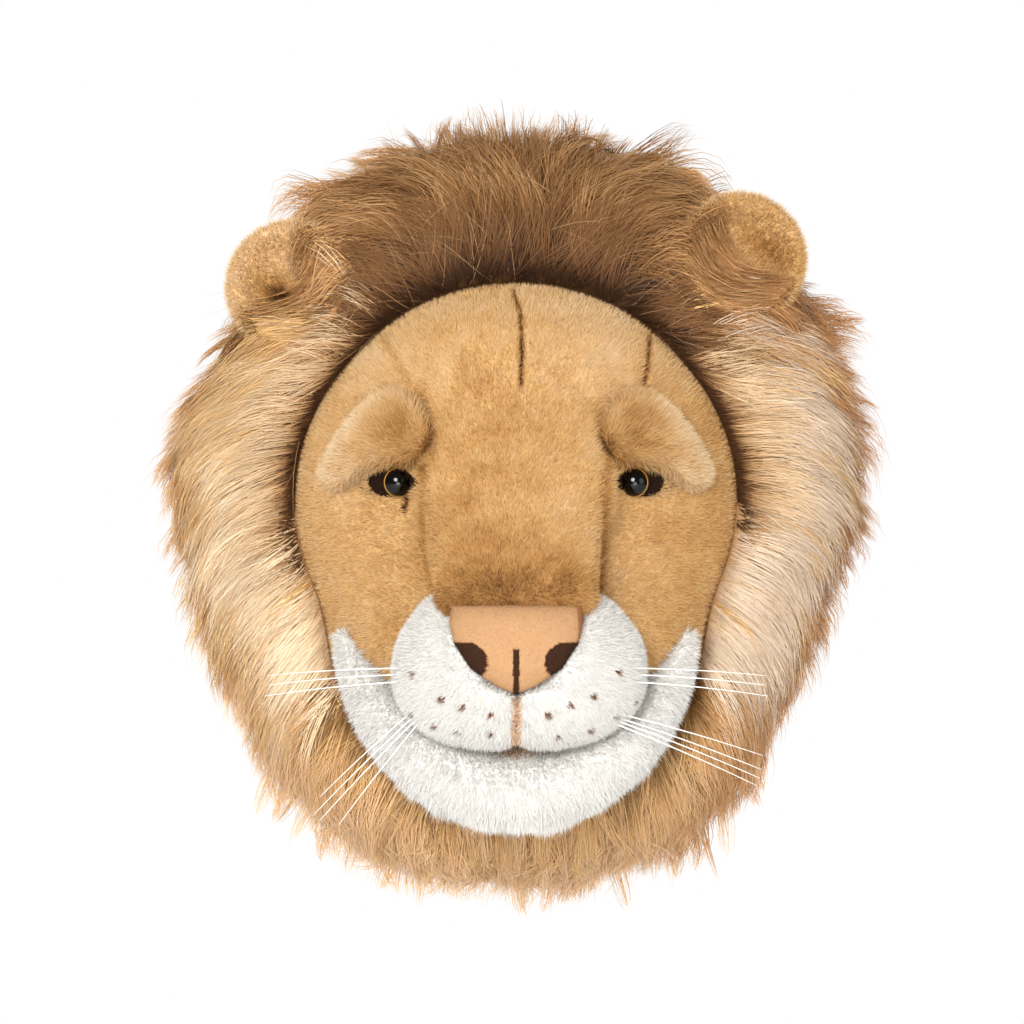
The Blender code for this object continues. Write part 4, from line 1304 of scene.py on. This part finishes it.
def make_chin(fur):
    chance = np.random.default_rng(44)
    skin = chin_skin()
    add_skin("chin", skin, chin_level(skin[0]), fur)
    points, normals = sow("chin", skin, chance, ahead_of(CHIN_SHOWN_FORWARD))
    x = points[:, 0]
    level = chin_level(points) + chance.normal(0.0, PILE_UNEVENNESS, len(x))
    flow = unit(np.stack([x * 5.0, np.full_like(x, -0.15), np.full_like(x, -1.0)], axis=1))
    extra = 0.0050 * step_softly(-normals[:, 2], 0.2, 0.9) * noise(points, 0.006, 13) ** 2
    add_pile("chin", points, normals, flow, level, fur, chance, extra)


def on_middle_line(x, z, line):
    """Which places lie on a line down the middle, given by its half width and its upper end."""
    half_width, top = line
    return (np.abs(x) < half_width) & (z < top)


def muzzle_level(places):
    """White, with the embroidered dots and the tan line between the pads."""
    x, forward, z = places.T
    level = 0.84 + 0.10 * (noise(places, 0.004, 6) - 0.5)
    for dot_x, dot_z in DOTS:
        near = np.hypot(x - dot_x, z - dot_z) < DOT_RADIUS
        level[near & (forward > forward[near].max(initial=0.0) - DOT_DEPTH)] = 0.10
    return np.where(on_middle_line(x, z, MUZZLE_LINE), 0.36, level)


def chin_level(places):
    """White, with a painted peach shadow in the mouth."""
    # Painted shadow in the mouth, between the muzzle and the chin
    mouth_shadow = np.exp(-((places[:, 0] / 0.016) ** 2)) * step_softly(places[:, 2], -0.116, -0.106)
    return 0.84 - 0.42 * mouth_shadow + 0.12 * (noise(places, 0.005, 7) - 0.5)


def make_ears(fur):
    for index, name in enumerate(EAR_PLACES):
        chance = np.random.default_rng(51 + index)
        skin = ear_skin(name)
        _, outward_way, across, normal = ear_axes(name)
        add_skin(name, skin, ear_level(skin[0], vertex_normals(*skin), name), fur)
        points, normals = sow(name, skin, chance)
        points, normals = only(ear_place(points, name)[0] > -0.30, points, normals)
        along, sideways, _ = ear_place(points, name)
        level = ear_level(points, normals, name) + chance.normal(0.0, 0.04, len(points))
        flow = unit(outward_way * along[:, None] + across * sideways[:, None] + outward_way * 0.35)
        flow = np.where((normals @ normal > 0.0)[:, None], flow, unit(flow + outward_way))
        add_pile(name, points, normals, flow, level, fur, chance)


# Of each ear: its lightness, lower on the right ear as painted shade, and the hollow's place along and
# across it, half sizes and the darkness of the painted shade in it
EAR_LOOKS = {
    "ear_left": (0.61, (0.04, 0.24), (0.36, 0.24), 0.58),
    "ear_right": (0.52, (0.42, -0.25), (0.18, 0.44), 0.24),
}


def ear_level(places, normals, name):
    """Tan with a pale rim, painted shade in the hollow where the ear is cupped, and painted shade under the
    hair.
    """
    light, (hollow_along, hollow_across), (half_along, half_across), darkness = EAR_LOOKS[name]
    along, sideways, _ = ear_place(places, name)
    rim = step_softly(np.hypot(along, sideways), 0.72, 0.94)
    front = normals @ ear_axes(name)[3] > 0.0
    away = np.hypot((along - hollow_along) / half_along, (sideways - hollow_across) / half_across)
    level = light + 0.02 * rim * step_softly(along, -0.3, 0.3)
    # Painted shade in the cupped hollow
    level -= darkness * np.exp(-(away**2)) * front
    level -= 0.14 * step_softly(-along, 0.20, 0.60)
    return level + 0.08 * (noise(places, 0.004, 8) - 0.5)


def make_nose():
    chance = np.random.default_rng(61)
    skin = nose_skin()
    felt = make_fur("nose_felt", FELT_KINDS, 0.85, (0.95, 1.05), 0.1)
    add_skin("nose", skin, nose_level(skin[0]), felt)
    points, normals = sow("nose", skin, chance, ahead_of(NOSE_SHOWN_FORWARD))
    level = nose_level(points)
    level += np.where(level > 0.4, chance.normal(0.0, PILE_UNEVENNESS, len(level)), 0.0)
    flow = chance.normal(0.0, 1.0, (len(level), 3))
    add_pile("nose", points, normals, flow, level, felt, chance)


def nose_level(places):
    """Peach tan, with painted shade at the top edge and a painted shadow down one side, and dark in the
    nostrils.
    """
    x, z = places[:, 0], places[:, 2]
    level = 0.70 + 0.12 * (noise(places, 0.003, 9) - 0.5)
    # Painted shade at the top edge, and a painted shadow down the right side
    level -= 0.16 * step_softly(z, -0.052, -0.043)
    level -= 0.30 * step_softly(x, 0.0255, 0.0275) * (z > -0.058)
    return np.where(nostril(x, z), 0.12, level)


def nostril(x, z):
    """Dark felt of the nostrils and of the line under the nose."""
    leaf = inside_outline(np.abs(x), z, smooth_outline(NOSTRIL_OUTLINE, 5))
    return leaf | on_middle_line(x, z, NOSE_LINE)


def make_eyes():
    dark = make_fur("dark_felt", (((0.0, (20, 13, 9)), (1.0, (58, 38, 24))),), 0.9, (0.8, 1.2), 0.1)
    for side_name, side in SIDES.items():
        name = "eye_lining_" + side_name
        chance = np.random.default_rng(71 + side)
        skin = lining_skin(side)
        uv = np.tile((0.3, 0.3), (len(skin[0]), 1))
        finish_piece(add_object(name + "_skin", *skin, dark[2], uv), name)
        points, normals = sow(name, skin, chance, over_head(0.0005))
        away = np.hypot(points[:, 0] - side * EYE_CENTRE[0], points[:, 2] - EYE_CENTRE[1])
        kept = (away > EYE_RADIUS * 0.9) & ~over_lining(points, side)
        points, normals = only(kept, points, normals)
        flow = unit(np.tile((side, 0.0, -0.2), (len(points), 1)))
        add_pile(name, points, normals, flow, chance.random(len(points)), dark, chance)
        ball = add_object(f"eye_{side_name}_ball", *eye_skin(side), eye_material(side_name, side))
        finish_piece(ball, "eye_" + side_name)


def eye_skin(side):
    base = float(head_front(EYE_CENTRE[0], EYE_CENTRE[1])) + EYE_RAISE
    turns = full_turn(56)
    rows = []
    for lean in np.radians(np.linspace(4, 90, 22)):
        x = side * EYE_CENTRE[0] + EYE_RADIUS * math.sin(lean) * np.cos(turns)
        z = EYE_CENTRE[1] + EYE_RADIUS * math.sin(lean) * np.sin(turns)
        rows.append(level_ring(x, base + EYE_DOME * math.cos(lean), z))
    rows.append(moved_to(rows[-1], base - EYE_SINK))
    x, z = side * EYE_CENTRE[0], EYE_CENTRE[1]
    return closed_skin(rows, (x, base + EYE_DOME, z), (x, base - EYE_SINK, z))


def eye_material(side_name, side):
    """Black plastic with a thin amber ring, and a clear gloss."""
    made, nodes, links, shader = new_material(f"eye_{side_name}_plastic")
    place = nodes.new("ShaderNodeTexCoord").outputs["Object"]
    vector = "ShaderNodeVectorMath"
    middle = (side * (EYE_CENTRE[0] - EYE_RING_SHIFT[0]), 0.0, EYE_CENTRE[1] - EYE_RING_SHIFT[1])
    shift = calculate(nodes, links, "SUBTRACT", place, middle, kind=vector)
    flat = calculate(nodes, links, "MULTIPLY", shift, (1.0, 0.0, 1.0), kind=vector)
    away = nodes.new(vector)
    away.operation = "LENGTH"
    links.new(flat, away.inputs[0])
    reach = calculate(nodes, links, "DIVIDE", away.outputs["Value"], EYE_RING_SPAN)
    tint = ramp(nodes, (
        (0.0, (6, 5, 4)), (0.770, (6, 5, 4)), (0.790, (176, 118, 36)), (0.81, (206, 150, 58)),
        (0.832, (120, 74, 20)), (0.85, (8, 6, 5)),
    ))
    links.new(reach, tint.inputs["Fac"])
    links.new(tint.outputs["Color"], shader.inputs["Base Color"])
    shader.inputs["Roughness"].default_value = 0.08
    shader.inputs["Specular IOR Level"].default_value = 0.38
    return made


def whisker_skin(side, root, tip):
    """A filament that bows a little upwards and thins towards its tip."""
    far = np.array((side * tip[0], tip[1], tip[2]))
    start_forward = float(form_front(MUZZLE_FORM, root[0], root[1])) - WHISKER_SINK
    start = np.array((side * root[0], start_forward, root[1]))
    shares = np.linspace(0.0, 1.0, 15)
    line = start + (far - start) * shares[:, None]
    line[:, 2] += WHISKER_SAG * 4.0 * shares * (1.0 - shares)
    way = unit(far - start)
    flat = unit(np.cross(way, (0.0, 0.0, 1.0)))
    turns = full_turn(8)[:, None]
    ring = flat * np.cos(turns) + np.cross(flat, way) * np.sin(turns)
    thin = 1.0 - WHISKER_TAPER * shares
    rows = [place + ring * WHISKER_RADIUS * left for place, left in zip(line, thin)]
    return closed_skin(rows, line[0], line[-1])


def make_whiskers():
    nylon, _ = mottled_material("nylon", ((0.3, (236, 230, 220)), (0.7, (252, 250, 246))), 160.0, 2.0, 0.35)
    for (side_name, level), pairs in WHISKERS.items():
        for number, (root, tip) in enumerate(pairs, start=1):
            name = f"whisker_{level}_{side_name}_{number}"
            skin = whisker_skin(SIDES[side_name], root, tip)
            finish_piece(add_object(name + "_filament", *skin, nylon), name)


# The mane


class StrandGroup(NamedTuple):
    """Settings of one group of clumps.

    turns is the range of directions round the head and shares that of the root's place, or of
    the tip's. layer is how deep its lowest clump lies, pull how far a clump's tips draw
    together, loose how much its strands diverge, turned its lean in degrees, limit the share
    that its tips reach, and kind the one colour kind of them all.
    """

    clumps: int
    shares: tuple
    lengths: tuple
    seed: int
    behind: bool = False
    from_tip: bool = False
    layer: float = 0.004
    pull: tuple = (0.2, 0.6)
    loose: float = 0.07
    turns: tuple = (0, 360)
    turned: float = 0
    limit: float = 1.10
    kind: int | None = None


TUFTED = (0.4, 0.9)
MANE_GROUPS = (
    StrandGroup(290, (0.010, 0.045), (0.030, 0.050), 80, layer=0.002, pull=(0.1, 0.4)),
    StrandGroup(1350, (0.045, 0.86), (0.042, 0.066), 81, loose=0.10),
    StrandGroup(
        760, (0.94, 1.19), (0.034, 0.056), 82, from_tip=True, layer=0.012, pull=(0.35, 0.85), limit=1.22,
    ),
    StrandGroup(450, (-0.28, 0.90), (0.030, 0.050), 83, behind=True, layer=0.006, limit=0.985),
    StrandGroup(110, (-0.30, 0.10), (0.034, 0.050), 89, behind=True, layer=0.001, limit=0.985),
    StrandGroup(90, (0.16, 0.84), (0.034, 0.052), 91, behind=True, turns=(50, 134), limit=0.985),
    StrandGroup(40, (0.12, 0.70), (0.030, 0.056), 84, layer=-0.001, pull=(0.0, 0.1), loose=0.45, kind=STRAY),
    StrandGroup(54, (0.62, 1.00), (0.044, 0.066), 85, pull=TUFTED, turns=(116, 129), turned=-12, limit=1.50),
    StrandGroup(34, (0.62, 1.00), (0.038, 0.054), 86, pull=TUFTED, turns=(58, 74), turned=6, limit=1.48),
    StrandGroup(24, (0.70, 1.00), (0.036, 0.050), 87, pull=TUFTED, turns=(30, 46), turned=18, limit=1.28),
    StrandGroup(44, (0.62, 0.98), (0.034, 0.046), 88, pull=(0.80, 0.96), turns=(222, 320), limit=1.36),
)
# How many strands a clump has, how far round it they grow, and a share of 1 as a length
STRANDS_PER_CLUMP = 20
CLUMP_RADIUS = 0.0052
STRAY_RADIUS = 0.030
SHARE_LENGTH = 0.075
# Where roots may lie
LOWEST_SHARE = 0.003
HIGHEST_BACK_SHARE = 0.94
HIGHEST_FRONT_SHARE = 1.4
# Disorder: of the tips' limit, as a share, and of the hair's height, in metres
LIMIT_SPREAD = 0.055
FLUTTER = 0.0009
DEPTH_SPREAD = 0.0006
# Half widths of the hair at its root, and the share of a strand below which it is left out
HAIR_HALF_WIDTHS = (0.00018, 0.00032)
STRAY_THINNESS = 0.42
SHORTEST_STAY = 0.22
# Where the mane's top lies, in degrees
CROWN_DEGREES = 92.0
# Steps, as shares of the whole, whose multiples fill a plane evenly
EVEN_STEPS = (0.7548776662, 0.5698402910)
PART_TURNS = {
    "mane_crown": (55, 125), "mane_left": (125, 215), "mane_beard": (215, 325), "mane_right": (325, 415),
}


def ear_room(places):
    """How far each place has to move back to lie behind an ear."""
    move = np.zeros(places.shape[:-1])
    for name in EAR_PLACES:
        along, sideways, height = ear_place(places, name)
        hidden = step_softly(-np.hypot(along, sideways), -1.15, -0.95)
        move = np.maximum(move, hidden * np.maximum(height + EAR_BACK_ROOM, 0.0))
    return move


def mane_skin():
    """A closed tube: the front and back of the mane, and the hole that the head fills."""
    turns = full_turn(180)
    x, z = np.cos(turns), np.sin(turns)

    def ring(profile, share):
        return place_at(profile, np.full_like(turns, share), turns)

    rows = [ring(front_skin_profile, share) for share in np.linspace(0.0, 1.0, 26)]
    rows += [ring(back_skin_profile, share) for share in np.linspace(0.08, 1.0, 12)]
    rows.append(moved_to(rows[-1], HEAD_BACK))
    width, height = NECK_ROOM * NECK_HALF_WIDTH, NECK_ROOM * NECK_HALF_HEIGHT
    rows += [level_ring(width * x, forward, NECK_CENTRE_Z + height * z) for forward in (HEAD_BACK, 0.05)]
    inner = mane_inner(turns) + SKIN_GAP
    rows += [level_ring(inner * x, forward, inner * z) for forward in (0.085, 0.112)]
    places = np.concatenate(rows)
    places[:, 1] -= ear_room(places)
    columns = len(turns)
    first = np.arange(columns)
    last = first + (len(rows) - 1) * columns
    wrap = np.concatenate([
        np.stack([last, np.roll(last, -1), np.roll(first, -1)], axis=1),
        np.stack([last, np.roll(first, -1), first], axis=1),
    ])
    return places, outward(places, np.concatenate([grid_triangles(len(rows), columns), wrap]))


def degrees_from_top(turn):
    return np.abs((np.degrees(turn) % 360.0 - CROWN_DEGREES + 180.0) % 360.0 - 180.0)


def mane_kinds(turn, share, chance, streak):
    """The colour kind of each clump: brown above, cream at the sides, tan below."""
    degrees = np.degrees(turn) % 360.0
    from_top = degrees_from_top(turn) + 10.0 * (streak - 0.5)
    right = (degrees < 90.0) | (degrees > 300.0)

    def drawn(odds):
        return chance.random(len(turn)) < odds

    def rising(right_span, left_span):
        """From 0 to 1 over a span of degrees from the top, one for each side."""
        low, high = (np.where(right, *pair) for pair in zip(right_span, left_span))
        return step_softly(from_top, low, high)

    # The right side's cream is a greyer, darker copy: painted shade of that side
    kind = np.where(right, SHADED_CREAM, CREAM)
    warm = 0.12 + 0.50 * step_softly(share, 0.15, 0.6) + 0.5 * (streak - 0.5)
    warm += 0.5 * step_softly(from_top, 100.0, 125.0) * step_softly(share, 0.15, 0.5)
    warm += 0.6 * (1.0 - step_softly(from_top, 48.0, 64.0))
    kind[drawn(warm * np.where(right, 0.32, 1.0))] = YELLOW
    kind[drawn(step_softly(share, 0.56, 0.80) * np.where(right, 0.95, 0.20))] = ROSY
    golden = step_softly(share, 0.66, 0.88) * ((degrees > 140) & (degrees < 192))
    kind[drawn(0.75 * golden)] = TUFT
    kind[drawn(0.60 * golden * (degrees < 172))] = BEARD_DARK
    cheek = step_softly(from_top, 104.0, 116.0) * (1.0 - right) * step_softly(share, 0.10, 0.28)
    kind[drawn(0.85 * cheek) & (kind == CREAM)] = CHEEK

    beard_reach = rising((114.0, 140.0), (102.0, 128.0))
    beard_reach *= step_softly(share + step_softly(from_top, 124.0, 144.0), 0.15, 0.55)
    is_beard = drawn(beard_reach)
    kind[is_beard] = BEARD
    kind[is_beard & drawn(0.25)] = YELLOW
    dark = 0.01 + 0.3 * step_softly(streak, 0.50, 0.75) + 0.64 * (right & (from_top < 152.0))
    kind[is_beard & drawn(dark)] = BEARD_DARK
    kind[is_beard & drawn(0.9 - 3.2 * share)] = BEARD_RIM

    is_crown = drawn(1.0 - rising((34.0, 60.0), (29.0, 50.0)))
    kind[is_crown] = CROWN
    kind[is_crown & drawn(0.34 + 0.3 * step_softly(from_top, 10.0, 30.0))] = CROWN_LIGHT
    tuft = rising((18.0, 42.0), (12.0, 32.0))
    kind[is_crown & drawn(np.where(right, 0.75, 0.90) * tuft)] = TUFT

    fade = 1.0 - step_softly(from_top + 14.0 * (chance.random(len(turn)) - 0.5), 84.0, 104.0)
    top = 1.0 - step_softly(from_top, 26.0, 74.0)
    rim = share < (0.085 + 0.05 * streak - 0.030 * right) * fade + 0.14 * top
    kind[rim & is_crown] = CROWN_RIM
    kind[rim & ~is_crown] = SIDE_RIM
    return kind


def skin_kinds(turn, behind):
    """The colour kind of the cloth under the fur."""
    from_top = degrees_from_top(turn)
    kind = np.where(from_top < 46.0, CROWN, np.where(from_top > 134.0, BEARD, CREAM))
    return np.where(behind, ROSY, kind)


# How far out along each ear the hair over it reaches, at places across it
EAR_EDGES = {
    "ear_left": ((-1.0, -0.73, -0.27, 0.08, 0.32, 0.62, 1.1), (0.62, 0.42, 0.05, -0.30, -0.30, 0.08, 0.20)),
    "ear_right": ((-1.0, -0.58, -0.09, 0.40, 1.1), (0.14, 0.24, 0.42, 0.50, 0.40)),
}


def fit_round_ears(paths, chance):
    """Hair over the inner half of an ear lies on it. Elsewhere it ends beside the ear.

    Gives the paths and, for each strand, the share of its length that stays.
    """
    count, stations = paths.shape[:2]
    stay = np.ones(count)
    for name in EAR_PLACES:
        along, sideways, height = ear_place(paths, name)
        reach = np.hypot(along, sideways)
        over = (reach < 1.06) & (height > -2.2 * EAR_THICKNESS)
        edge = np.interp(sideways, *EAR_EDGES[name]) + chance.normal(0.0, 0.20, (count, 1))
        shown = over & (along > edge)
        first = np.where(shown.any(axis=1), shown.argmax(axis=1), stations)
        stay = np.minimum(stay, np.where(first < stations, (first - 0.3) / (stations - 1), 1.0))
        front = np.interp(reach, EAR_FRONT_SHARES, EAR_FRONT_HEIGHTS)
        lift = np.where(over & ~shown, np.maximum(front + EAR_HAIR_ROOM - height, 0.0), 0.0)
        beside = np.pad(lift, ((0, 0), (1, 1)))
        lift = np.maximum(lift, 0.55 * np.maximum(beside[:, :-2], beside[:, 2:]))
        paths = paths + ear_axes(name)[3] * lift[..., None]
    return paths, stay


def place_clumps(group, chance):
    """The turn, share, lean, length and depth of each clump, evenly spread but for a little."""
    clumps = group.clumps
    places = np.outer(np.arange(clumps), EVEN_STEPS) + chance.random(2)
    places = (places + chance.normal(0.0, 0.25, (clumps, 2)) / clumps**0.5) % 1.0
    turn = between(np.radians(group.turns), places[:, 0])
    share = between(group.shares, places[:, 1])
    above, below = step_softly(np.sin(turn), 0.45, 0.85), hanging(turn)
    lean = chance.normal(0.0, 0.10, clumps) * (1.0 + 1.7 * above + 1.0 * below)
    lean = math.radians(group.turned) + lean
    length = chance.uniform(*group.lengths, clumps) * (1.0 + 0.40 * below)
    return turn, share, lean, length, chance.uniform(0.0, 1.0, clumps) * group.layer


def hanging(turn):
    """How much the hair is the beard's, from 0 to 1."""
    return step_softly(-np.sin(turn), 0.55, 0.95)


def hold_back(group, chance, turn, shares, owner):
    """The strands' shares, held back past the share that their tips may reach."""
    count = len(owner)
    if group.behind:
        limits = chance.normal(group.limit, 0.02, (count, 1))
        return np.where(shares > limits, limits + 0.04 * (shares - limits), shares)
    limits = group.limit - 0.10 * step_softly(-np.sin(turn), 0.25, 0.60)
    limits += 0.09 * np.exp(-(((np.degrees(turn) - 95.0) / 10.0) ** 2))
    limits = (limits + chance.normal(0.0, LIMIT_SPREAD, group.clumps) * (1.0 + 1.9 * hanging(turn)))[owner]
    limits = (limits + chance.normal(0.0, 0.035, count))[:, None]
    shares = np.where(shares > limits, limits + 0.12 * (shares - limits), shares)
    return np.maximum(shares, lowest_share(group))


def lowest_share(group):
    return min(group.shares[0], LOWEST_SHARE)


def strand_paths(group, chance):
    """Clumped strands from the skin to the envelope.

    Gives paths, outward directions, each strand's clump, and each clump's turn and share.
    """
    profile, skin = front_profile, front_skin_profile
    if group.behind:
        profile, skin = back_profile, back_skin_profile
    turn, share, lean, length, layer = place_clumps(group, chance)
    owner = np.repeat(np.arange(group.clumps), STRANDS_PER_CLUMP)
    count = len(owner)
    stray = group.kind == STRAY
    away = np.sqrt(chance.random(count)) * (STRAY_RADIUS if stray else CLUMP_RADIUS)
    angle = chance.uniform(0.0, 2.0 * math.pi, count)
    radius, _ = profile(share, turn)
    own_turn = turn[owner] + away * np.cos(angle) / radius[owner]
    own_share = share[owner] + away * np.sin(angle) / SHARE_LENGTH * (0.35 if group.from_tip else 1.0)
    highest = HIGHEST_BACK_SHARE if group.behind else HIGHEST_FRONT_SHARE
    own_share = np.clip(own_share, lowest_share(group), highest)
    own_length = length[owner] * chance.uniform(0.72, 1.06, count)
    own_lean = lean[owner] + chance.normal(0.0, group.loose, count)
    guides, _ = comb_paths(profile, group, turn, share, length, lean)
    turns, shares = comb_paths(profile, group, own_turn, own_share, own_length, own_lean)
    t = np.linspace(0.0, 1.0, STRAND_STEPS + 1)
    pull = chance.uniform(*group.pull, group.clumps)
    if not stray:
        pull += 0.6 * hanging(turn) * (0.95 - pull)
    turns = turns + (guides[owner] - turns) * pull[owner][:, None] * t**1.5
    shares = hold_back(group, chance, turn, shares, owner)
    outer = place_at(profile, shares, turns)
    normals = way_out(profile, shares, turns)
    flutter = chance.normal(0.0, FLUTTER, (count, 1))
    flutter = flutter * np.sin(t * math.pi * chance.uniform(0.8, 2.2, (count, 1)))
    depth = layer[owner][:, None] * t + chance.normal(0.0, DEPTH_SPREAD, (count, 1)) * t + flutter
    outer = outer - normals * depth[..., None]
    inner = place_at(skin, shares, turns)
    paths = inner + (outer - inner) * (1.0 - (1.0 - t) ** 1.8)[:, None]
    return paths, normals, owner, turn, share


def resample(values, stay):
    """Each strand cut to a share of its length, with the same number of stations."""
    stations = values.shape[1]
    place = np.linspace(0.0, 1.0, stations)[None] * stay[:, None] * (stations - 1)
    low = np.clip(np.floor(place).astype(int), 0, stations - 2)
    part = (place - low)[..., None]
    rows = np.arange(len(values))[:, None]
    return values[rows, low] * (1.0 - part) + values[rows, low + 1] * part


def make_mane_skin(fur):
    places, triangles = mane_skin()
    turns = np.arctan2(places[:, 2], places[:, 0])
    above = places[:, 2] > 0.0
    behind = places[:, 1] < MANE_WIDEST_FORWARD + 0.010
    rim = places[:, 1] > RIM_FORWARD - 0.004
    rim &= np.hypot(places[:, 0], places[:, 2]) < mane_inner(turns) + 0.006
    kind = np.where(rim, np.where(above, CROWN_RIM, SIDE_RIM), skin_kinds(turns, behind))
    tone = np.where(behind, 0.25, np.where(rim & above, 0.0, 0.5))
    uv = np.stack([kind_place(kind, len(MANE_KINDS), tone), np.where(behind, 0.03, 0.40)], axis=1)
    body = add_object("mane_skin", places, triangles, fur, uv)
    finish_piece(body, "mane")


def group_strands(group):
    """A group's paths, outward directions, places on the map, half widths and degrees."""
    chance = np.random.default_rng(group.seed)
    paths, normals, owner, turn, share = strand_paths(group, chance)
    count = len(owner)
    streak = noise(np.stack([turn * 6.0, np.zeros_like(turn), share * 0.8], axis=1), 1.0, 12)
    kind = mane_kinds(turn, np.full_like(share, 0.85) if group.behind else share, chance, streak)
    if group.kind is not None:
        kind[:] = group.kind
    tone = chance.normal(0.5, 0.26, group.clumps)[owner] + chance.normal(0.0, 0.20, count)
    thick = chance.uniform(*HAIR_HALF_WIDTHS, count) * (STRAY_THINNESS if group.kind == STRAY else 1.0)
    place = kind_place(kind[owner], len(MANE_KINDS), tone)
    stay = np.ones(count)
    if not group.behind:
        paths, stay = fit_round_ears(paths, chance)
    kept = stay > SHORTEST_STAY
    paths = resample(paths[kept], stay[kept])
    normals = unit(resample(normals[kept], stay[kept]))
    return paths, normals, *only(kept, place, thick, np.degrees(turn[owner]) % 360.0)


def make_mane():
    fur = strand_material("mane_fur", MANE_KINDS, 0.60, (0.81, 1.17), 0.22)
    make_mane_skin(fur)
    found = {name: [] for name in [*PART_TURNS, "mane_nape"]}
    for group in MANE_GROUPS:
        *strands, degrees = group_strands(group)
        if group.behind:
            found["mane_nape"].append(strands)
            continue
        for name, (low, high) in PART_TURNS.items():
            found[name].append(only((degrees - low) % 360.0 < high - low, *strands))
    tapering = (1.0 - np.linspace(0.0, 1.0, STRAND_STEPS + 1)[:-1]) ** 0.6
    for index, (name, parts) in enumerate(found.items()):
        chance = np.random.default_rng(90 + index)
        paths, normals, place, thick = (np.concatenate(arrays) for arrays in zip(*parts))
        twists = chance.normal(0.0, 0.5, len(paths))
        coat = ribbons(name + "_fur", paths, normals, thick[:, None] * tapering, twists, place, fur)
        finish_piece(coat, "mane")


def make_back_panel():
    cloth = woven_material("panel_cloth", ((0.3, (112, 84, 56)), (0.7, (134, 102, 70))))
    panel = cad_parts["back_panel"].data
    panel.materials.clear()
    panel.materials.append(cloth)


make_camera()
make_world()
for light in LIGHTS:
    soft_light(*light)
make_floor()
tan_fur = make_fur("tan_plush", TAN_KINDS, 0.75, (0.90, 1.10), 0.15)
make_head(tan_fur)
make_brows(tan_fur)
make_ears(tan_fur)
white_fur = make_fur("white_plush", WHITE_KINDS, 0.8, (0.97, 1.02), 0.15)
make_muzzles(white_fur)
make_chin(white_fur)
make_nose()
make_eyes()
make_whiskers()
make_mane()
make_back_panel()
